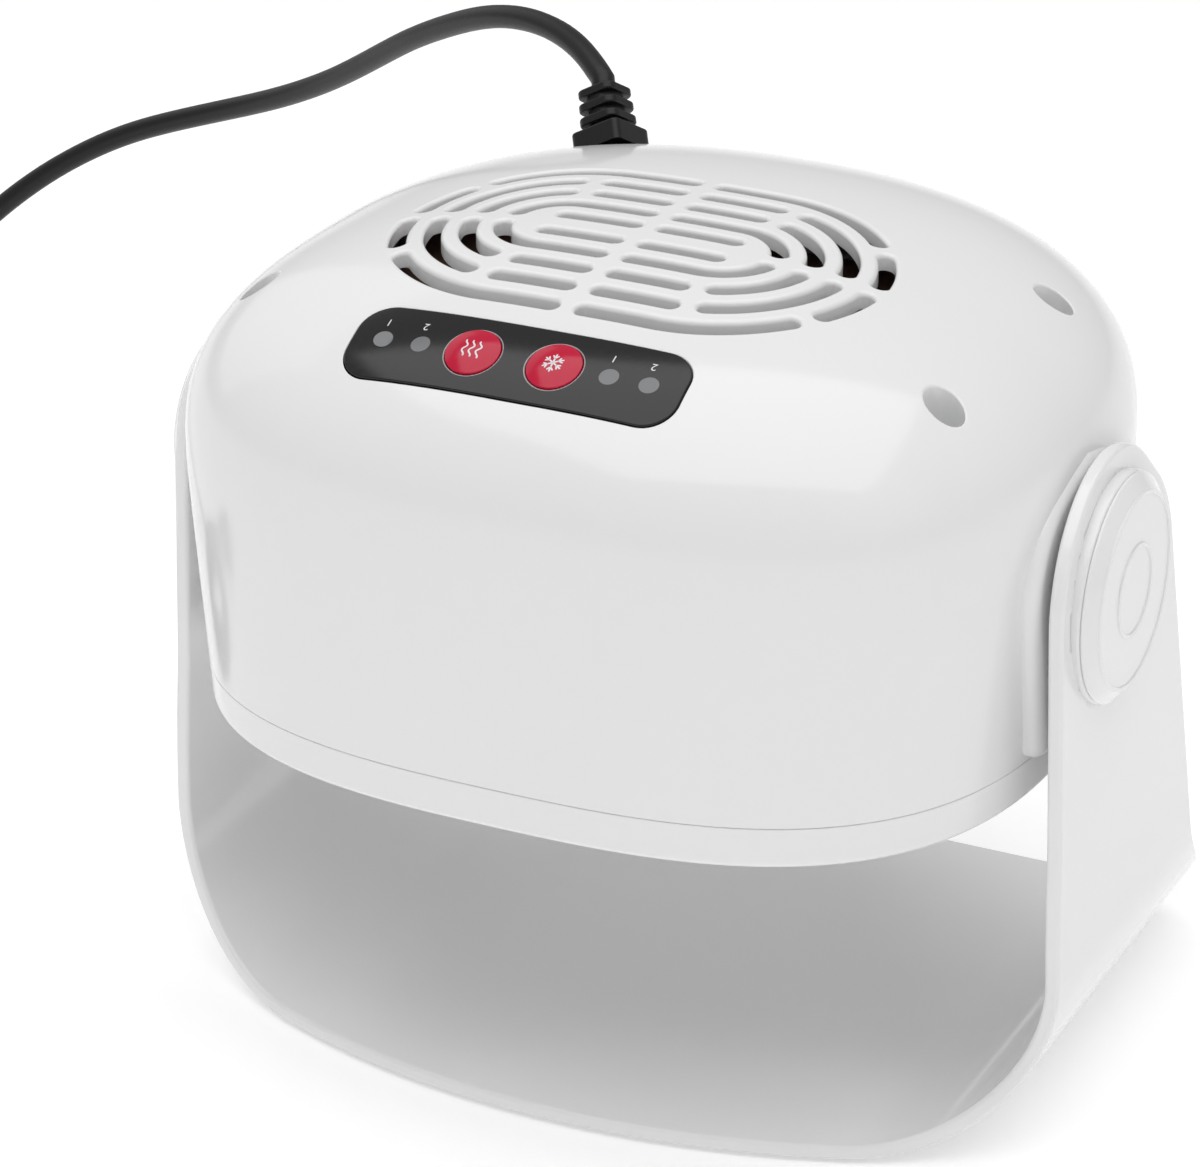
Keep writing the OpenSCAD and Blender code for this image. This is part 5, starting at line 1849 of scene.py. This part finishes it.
def smooth_route(points: np.ndarray, parts: int) -> np.ndarray:
    """Rounds a route with a curve through its points.

    Args:
        points: The route.
        parts: Pieces between two points.

    Returns:
        The finer route, its ends kept.
    """
    padded = np.vstack([2 * points[0] - points[1], points, 2 * points[-1] - points[-2]])
    fine = []
    for k in range(1, len(padded) - 2):
        a, b, c, d = padded[k - 1 : k + 3]
        square, cube = 2 * a - 5 * b + 4 * c - d, 3 * b - a - 3 * c + d
        for t in np.arange(parts) / parts:
            fine.append(0.5 * (2 * b + (c - a) * t + square * t**2 + cube * t**3))
    return np.vstack([fine, [points[-1]]])


def relax(route: np.ndarray, rounds: int) -> np.ndarray:
    """Lets a route settle into the even bends of a springy cable, its ends kept.

    Args:
        route: The route.
        rounds: How often each point moves towards the middle of its neighbours.

    Returns:
        The route on even steps.
    """
    even = resample(route, 3.0)
    for _ in range(rounds):
        even[2:-2] += 0.5 * ((even[1:-3] + even[3:-1]) / 2 - even[2:-2])
    return even


def sweep(shape: Shape, route: np.ndarray, radius: float, sides: int) -> None:
    """Sweeps a round section along a route without twist, with flat ends.

    Args:
        shape: Shape that gets the faces.
        route: Points of the centre line.
        radius: Radius of the section.
        sides: Points round the section.
    """
    ahead = unit(np.gradient(route, axis=0))
    side = unit(np.cross(ahead[0], [0.0, 0.0, 1.0])[None])[0]
    rings = []
    turn = np.linspace(0, 2 * math.pi, sides, endpoint=False)
    for spot, tangent in zip(route, ahead):
        side = unit((side - tangent * (side @ tangent))[None])[0]
        up = np.cross(tangent, side)
        around = np.cos(turn)[:, None] * side + np.sin(turn)[:, None] * up
        rings.append((shape.add_points(spot + radius * around), around))
    for (low, n_low), (high, n_high) in zip(rings, rings[1:]):
        shape.add_strip(low, high, n_low, n_high)
    shape.add_cap(rings[0][0], route[0], -ahead[0], True)
    shape.add_cap(rings[-1][0], route[-1], ahead[-1], False)


@dataclass
class Plug:
    """The moulded plug: ribbed relief and a soft-edged grip.

    A station is a share of the grip's length, and how far its section has
    gone there from the neck's circle to the rounded rectangle.
    """

    lead: MainsLead
    neck: float = 7.8
    end_round: float = 1.6
    sides: int = 72
    ring_heights: tuple = (0.3, 4.9, 9.3, 13.7, 18.1)
    stations: tuple = (
        (0.0, 0.0), (0.02, 0.05), (0.1, 0.2), (0.22, 0.6), (0.35, 0.92), (0.5, 1.0), (0.75, 1.0), (0.93, 1.0),
    )

    def matrix(self) -> Matrix:
        """The plug's frame: +Z runs towards the blades."""
        return Matrix.Translation(Vector(self.lead.coil_points()[-1])) @ Matrix.Rotation(math.pi / 2, 4, "X")

    def build(self, material: Material) -> list:
        """Builds the grip and the relief's rings.

        Args:
            material: The lead's finish.

        Returns:
            Both objects.
        """
        lead = self.lead
        matrix = self.matrix()
        spin, shift = np.array(matrix.to_3x3()), np.array(matrix.translation)
        high = 2 * lead.coil_points()[-1][2] - 0.4
        start, end = lead.relief_l - 1, lead.relief_l + lead.plug_l
        shape = Shape()
        lathe(shape, [[0, 0], [lead.relief_r - 0.8, 0], [lead.relief_r + 1.6, lead.relief_l]], matrix, 48)
        grid = []
        turn = np.linspace(0, 2 * math.pi, self.sides, endpoint=False)
        for t, share in self.stations:
            grid.append(self.ring(turn, start + t * (end - start), share, high, 0.0))
        for a in np.radians([30, 60, 90]):
            z, inset = end - self.end_round * (1 - math.sin(a)), self.end_round * (1 - math.cos(a))
            grid.append(self.ring(turn, z, 1.0, high, inset))
        rows = [g @ spin.T + shift for g in grid]
        stack = np.array(rows)
        along = np.gradient(stack, axis=0)
        around = (np.roll(stack, -1, 1) - np.roll(stack, 1, 1)) / 2
        normals = unit(np.cross(around, along))
        numbers = [shape.add_points(r) for r in rows]
        for k in range(len(rows) - 1):
            shape.add_strip(numbers[k], numbers[k + 1], normals[k], normals[k + 1])
        axis = spin @ np.array([0, 0, 1.0])
        shape.add_cap(numbers[0], axis * start + shift, -axis, True)
        shape.add_cap(numbers[-1], axis * end + shift, axis, False)
        body = shape.to_object("plug_grip", [material])
        part = Shape()
        ring = [[3.2, 0], *arc((3.9, 0.5), 0.5, -90, 0, 4), *arc((3.9, 2.1), 0.5, 0, 90, 4), [3.2, 2.6]]
        lathe(part, ring, Matrix(), 48)
        spots = np.array([axis * h + shift for h in self.ring_heights])
        turns = np.tile(euler_of(matrix), (len(spots), 1))
        scales = np.array([1 + 0.53 * h / lead.relief_l for h in self.ring_heights])
        return [body, Repeater("plug_relief_rings", material).build(part, spots, turns, scales)]

    def ring(self, turn: np.ndarray, z: float, share: float, high: float, inset: float) -> np.ndarray:
        """One section of the grip, between a circle and a rounded rectangle.

        Args:
            turn: Angles of the points.
            z: Place along the plug.
            share: 0 for the neck's circle, 1 for the rounded rectangle.
            high: Height of the grip.
            inset: How far the section is drawn in.

        Returns:
            The points.
        """
        m = 2 + 3 * share
        half_w = self.neck + (self.lead.plug_w / 2 - self.neck) * share - inset
        half_h = self.neck + (high / 2 - self.neck) * share - inset
        c, s = np.cos(turn), np.sin(turn)
        size = (np.abs(c) ** m + np.abs(s) ** m) ** (-1 / m)
        return np.stack([half_w * c * size, half_h * s * size, np.full(len(turn), z)], 1)


@dataclass
class Marks:
    """Plain white marks: numbers at the lamps, a sign on each button."""

    panel: ControlPanel
    raised: float = 0.03
    digit: float = 3.1
    digit_x: float = -1.0
    digit_y: float = 5.6
    stroke: float = 0.42

    def digits(self, text: str, at: tuple[float, float]) -> tuple[np.ndarray, list]:
        """Flat outline of a number, upright for someone behind the head.

        Args:
            text: The number.
            at: Its middle on the panel.

        Returns:
            The points, and the faces between them.
        """
        made = bpy.data.curves.new("digit", "FONT")
        made.body, made.size = text, self.digit
        made.align_x, made.align_y = "CENTER", "CENTER"
        holder = bpy.data.objects.new("digit", made)
        link(holder)
        mesh = evaluated_mesh(holder)
        flat = np.array([v.co[:2] for v in mesh.vertices])
        faces = [list(p.vertices) for p in mesh.polygons]
        bpy.data.objects.remove(holder)
        bpy.data.meshes.remove(mesh)
        return np.array(at) - flat, faces

    def ribbon(self, line: np.ndarray) -> tuple[np.ndarray, list]:
        """A flat stroke with round ends along a line.

        Args:
            line: Points of the line.

        Returns:
            The points, and the faces between them.
        """
        edge = Edge(resample(line, 0.25), 0.0, self.stroke / 2)
        left = unit(np.gradient(edge.path, axis=0))[:, ::-1] * [-1, 1] * self.stroke / 2
        count = len(edge.path)
        flat = np.vstack([edge.path - left, edge.path + left])
        faces = [[i, i + 1, count + i + 1, count + i] for i in range(count - 1)]
        for tip in (edge.path[0], edge.path[-1]):
            start = len(flat)
            flat = np.vstack([flat, circle(tip, self.stroke / 2, 12)])
            faces.append(list(range(start, start + 12)))
        return flat, faces

    def heat_sign(self) -> list:
        """Three rising waves."""
        t = np.linspace(-1, 1, 40)
        return [np.stack([x + 0.45 * np.sin(math.pi * 1.6 * t), 2.3 * t], 1) for x in (-1.8, 0.0, 1.8)]

    def cool_sign(self) -> list:
        """A plain six-armed frost star."""
        lines = []
        for k in range(6):
            a = math.radians(60 * k + 30)
            way = np.array([math.cos(a), math.sin(a)])
            lines.append(np.array([way * 0.0, way * 2.5]))
            for s in (-1, 1):
                b = a + s * math.radians(42)
                tip = way * 1.35 + 0.95 * np.array([math.cos(b), math.sin(b)])
                lines.append(np.array([way * 1.35, tip]))
        return lines

    def build(self, material: Material) -> Object:
        """Builds the numbers at the lamps.

        Args:
            material: Their finish.

        Returns:
            The numbers as one object.
        """
        shape = Shape()
        for k, x in enumerate(self.panel.lamps):
            flat, faces = self.digits(str(1 + k % 2), (x + self.digit_x, self.digit_y))
            place, normal, *_ = self.panel.skin(flat, self.raised)
            self.add(shape, place, normal, faces)
        return shape.to_object("panel_numbers", [material])

    def build_sign(self, side: int, material: Material) -> Object:
        """Builds the sign on one button's crown.

        Args:
            side: -1 for the left button, 1 for the right.
            material: The sign's finish.

        Returns:
            The sign's object.
        """
        panel = self.panel
        ball, frame_of = panel.ball, panel.frame
        shape = Shape()
        for line in self.cool_sign() if side > 0 else self.heat_sign():
            flat, faces = self.ribbon(line)
            rise = np.sqrt(ball**2 - (flat**2).sum(1)) - ball + panel.button_proud + 0.02
            local = np.column_stack([flat[:, 0] + side * panel.button_pitch / 2, flat[:, 1], rise])
            axes = np.array([frame_of.axis_x, frame_of.axis_y, frame_of.axis_z])
            place = frame_of.origin + local @ axes
            out = unit(np.column_stack([flat, np.full(len(flat), ball)])) @ axes
            self.add(shape, place, out, faces)
        return shape.to_object("button_sign_" + ("cool" if side > 0 else "hot"), [material])

    @staticmethod
    def add(shape: Shape, place: np.ndarray, normal: np.ndarray, faces: list) -> None:
        """Adds flat faces, turned outwards.

        Args:
            shape: Shape that gets the faces.
            place: Their points.
            normal: Outward normals of the points.
            faces: Point numbers of each face.
        """
        numbers = shape.add_points(place)
        for face in faces:
            a, b, c = (place[k] for k in face[:3])
            if np.dot(np.cross(b - a, c - a), normal[face[0]]) < 0:
                face = face[::-1]
            shape.add_face(numbers[face], normal[face])


# ---------- Studio ----------


@dataclass
class Studio:
    """Pale floor, soft lights and the photograph's camera."""

    image: tuple[int, int] = (1200, 1167)
    azimuth: float = 25.69
    elevation: float = 24.83
    distance: float = 1133.68
    focal_px: float = 4480.35
    target: tuple[float, float, float] = (-8.6, 2.8, 104.11)
    centre_px: tuple[float, float] = (632.9, 616.55)
    sensor: float = 36.0
    floor: float = 6000.0
    tiles: int = 8

    def add_camera(self) -> None:
        """Sets up the camera."""
        data = bpy.data.cameras.new("camera")
        wide, high = self.image
        data.sensor_fit = "HORIZONTAL"
        data.sensor_width = self.sensor
        data.lens = self.focal_px / wide * self.sensor
        data.shift_x = (wide / 2 - self.centre_px[0]) / wide
        data.shift_y = (self.centre_px[1] - high / 2) / wide
        data.clip_end = 20.0
        az, el = math.radians(self.azimuth), math.radians(self.elevation)
        back = Vector((math.sin(az) * math.cos(el), -math.cos(az) * math.cos(el), math.sin(el)))
        target = Vector(place_points(np.array(self.target)))
        camera = bpy.data.objects.new("camera", data)
        camera.location = target + back * self.distance * MM
        camera.rotation_euler = (-back).to_track_quat("-Z", "Y").to_euler()
        link(camera)
        bpy.context.scene.camera = camera

    def add_floor(self) -> None:
        """Lays the pale floor."""
        shape = Shape()
        grid = np.linspace(-self.floor, self.floor, self.tiles + 1)
        numbers = shape.add_points(np.array([[x, y, 0.0] for y in grid for x in grid]))
        rows = numbers.reshape(self.tiles + 1, self.tiles + 1)
        for i in range(self.tiles):
            for j in range(self.tiles):
                corners = [rows[i, j], rows[i, j + 1], rows[i + 1, j + 1], rows[i + 1, j]]
                shape.add_face(corners, [(0, 0, 1)] * 4)
        material = bpy.data.materials.new("studio_floor_white")
        material.use_nodes = True
        tree = material.node_tree
        tree.nodes.clear()
        place = add_node(tree, "ShaderNodeTexCoord")
        grain = add_node(tree, "ShaderNodeTexNoise", {"Scale": 3.0}, {"Vector": place.outputs["Object"]})
        tint = add_node(
            tree,
            "ShaderNodeMix",
            {"data_type": "RGBA", 6: linear("#ffffff"), 7: linear("#fdfdfd")},
            {0: grain.outputs["Fac"]},
        )
        shader = add_node(
            tree,
            "ShaderNodeBsdfPrincipled",
            {
                "Roughness": 0.9,
                "Specular IOR Level": 0.1,
                "Emission Color": linear("#ffffff"),
                "Emission Strength": 0.2,
            },
            {"Base Color": tint.outputs[2]},
        )
        add_node(tree, "ShaderNodeOutputMaterial", {}, {"Surface": shader.outputs[0]})
        shape.to_object("studio_floor", [material])

    def add_light(
        self, name: str, spot: Sequence[float], aim: Sequence[float], size: Sequence[float], power: float
    ) -> None:
        """Adds one soft box.

        Args:
            name: Name of the light.
            spot: Its place, in metres.
            aim: Where it points.
            size: Width and height.
            power: Watts.
        """
        data = bpy.data.lights.new(name, "AREA")
        data.shape = "RECTANGLE"
        data.size, data.size_y = size
        data.energy = power
        light = bpy.data.objects.new(name, data)
        light.location = spot
        light.rotation_euler = (Vector(aim) - Vector(spot)).to_track_quat("-Z", "Y").to_euler()
        link(light)

    def add_lights(self) -> None:
        """Sets the world and the soft boxes."""
        scene = bpy.context.scene
        world = bpy.data.worlds.new("studio")
        world.use_nodes = True
        sky = world.node_tree.nodes["Background"]
        sky.inputs["Color"].default_value = (1, 1, 1, 1)
        sky.inputs["Strength"].default_value = 0.4
        scene.world = world
        scene.view_settings.view_transform = "Standard"
        aim = (0, 0, 0.15)
        self.add_light("softbox_top", (0.1, -0.3, 2.2), (0.0, -0.1, 0.0), (3.0, 2.6), 37)
        self.add_light("softbox_right", (2.2, -0.9, 1.6), aim, (1.8, 1.8), 2)
        self.add_light("softbox_left", (-2.2, 0.9, 1.3), aim, (2.0, 1.8), 5)


# ---------- Whole object ----------


def dress_frame_nodes() -> None:
    """Gives every carried-over frame node its real finish."""
    black, steel, brown = FAN_PBT.build(), ZINC_STEEL.build(), LAMINATE_BROWN.build()
    plain = {
        "outlet_grille": WHITE_ABS.build(),
        "pivot_hubs": NYLON_NATURAL.build(),
        "friction_washers": FIBRE.build(),
        "air_duct": ALUMINIUM.build(),
        "heater_frame": MICA.build(),
        "heater_coil": NICHROME.build(),
        "thermal_cutoff": CERAMIC.build(),
        "terminal_block": NYLON_NATURAL.build(),
        "harness": GREY_PVC.build(),
        "inner_lead": BLACK_PVC.build(),
        "cord_tie": BLACK_NYLON.build(),
        "plug_pins": NICKEL_BRASS.build(),
        "status_leds": LAMP_WINDOW.build(),
    }
    shared = (
        (steel, [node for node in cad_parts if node.endswith(("screws", "pivot_washers"))]),
        (black, ("fan_frame", "fan_impeller", "tact_switches", "gland_nut")),
        (brown, ("fan_deck", "control_board")),
    )
    for material, nodes in shared:
        plain.update((node, material) for node in nodes)
    for node, material in plain.items():
        dress(node, material)
    LOG.info("%d frame nodes dressed", len(plain))


def add_mains_lead(gland: Gland, pvc: Material) -> None:
    """Builds the mains lead with its coil and plug.

    Args:
        gland: The gland that the lead leaves.
        pvc: The lead's finish.
    """
    lead = MainsLead(gland)
    loose = relax(smooth_route(lead.lead_points(), 4), 30)
    route = np.vstack([loose[:-1], smooth_route(lead.coil_points(), 2)])
    tube = Shape()
    sweep(tube, route, lead.diameter / 2, 18)
    cord = tube.to_object("mains_lead", [pvc])
    plug, relief = Plug(lead).build(pvc)
    for piece in (plug, relief):
        finish_piece(piece, "base", ["plug_body"] if piece is plug else [])
    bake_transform(cord)
    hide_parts("cord_lead", "cord_coil")
    place_points(lead.tip)


def add_head(form: HeadForm, gland: Gland, white: Material, pvc: Material) -> None:
    """Builds what tilts with the head, and the two buttons.

    Args:
        form: The head's form.
        gland: The gland of the mains lead.
        white: Finish of the shells.
        pvc: Finish of the gland.
    """
    vent, panel = Vent(), ControlPanel(form)
    housing = Housing(form, vent, panel, gland).build(white)
    finish_piece(housing, "head", ["top_housing"])
    cover = BottomCover(form).build(white)
    finish_piece(cover, "head", ["bottom_cover"])
    film = panel.build_plate([PANEL_FILM.build(), FILM_EDGE.build(), LAMP_WINDOW.build()])
    finish_piece(film, "head", ["control_panel"])
    marks = Marks(panel)
    ink = PRINT_WHITE.build()
    finish_piece(marks.build(ink), "head")
    red = RED_ABS.build()
    for side, body in ((-1, "hot_button"), (1, "cool_button")):
        node = "button_hot" if side < 0 else "button_cool"
        finish_piece(panel.build_button(side, red), body, [node])
        finish_piece(marks.build_sign(side, ink), body)
    finish_piece(build_fan_board(LAMINATE_BROWN.build()), "head")
    for piece, nodes in zip(build_gland(gland, pvc), (["cord_gland"], [])):
        finish_piece(piece, "head", nodes)


def add_cradle(white: Material) -> None:
    """Builds the cradle, its caps and its feet.

    Args:
        white: Finish of the cradle and the caps.
    """
    finish_piece(Cradle().build(white), "base", ["base_cradle"])
    for side, node in ((-1, "pivot_cap_left"), (1, "pivot_cap_right")):
        finish_piece(PivotCap().build(side, white), "base", [node])
    finish_piece(build_feet(FOOT_RUBBER.build()), "base", ["rubber_feet"])


def main() -> None:
    """Builds the camera and the lead first, then the head, the cradle and the studio."""
    logging.basicConfig(level=logging.INFO, format="%(name)s: %(message)s")
    studio = Studio()
    studio.add_camera()
    form = HeadForm()
    gland = Gland(form)
    pvc = BLACK_PVC.build()
    add_mains_lead(gland, pvc)
    white = WHITE_ABS.build()
    add_head(form, gland, white, pvc)
    add_cradle(white)
    dress_frame_nodes()
    studio.add_floor()
    studio.add_lights()


if __name__ == "__main__":
    main()
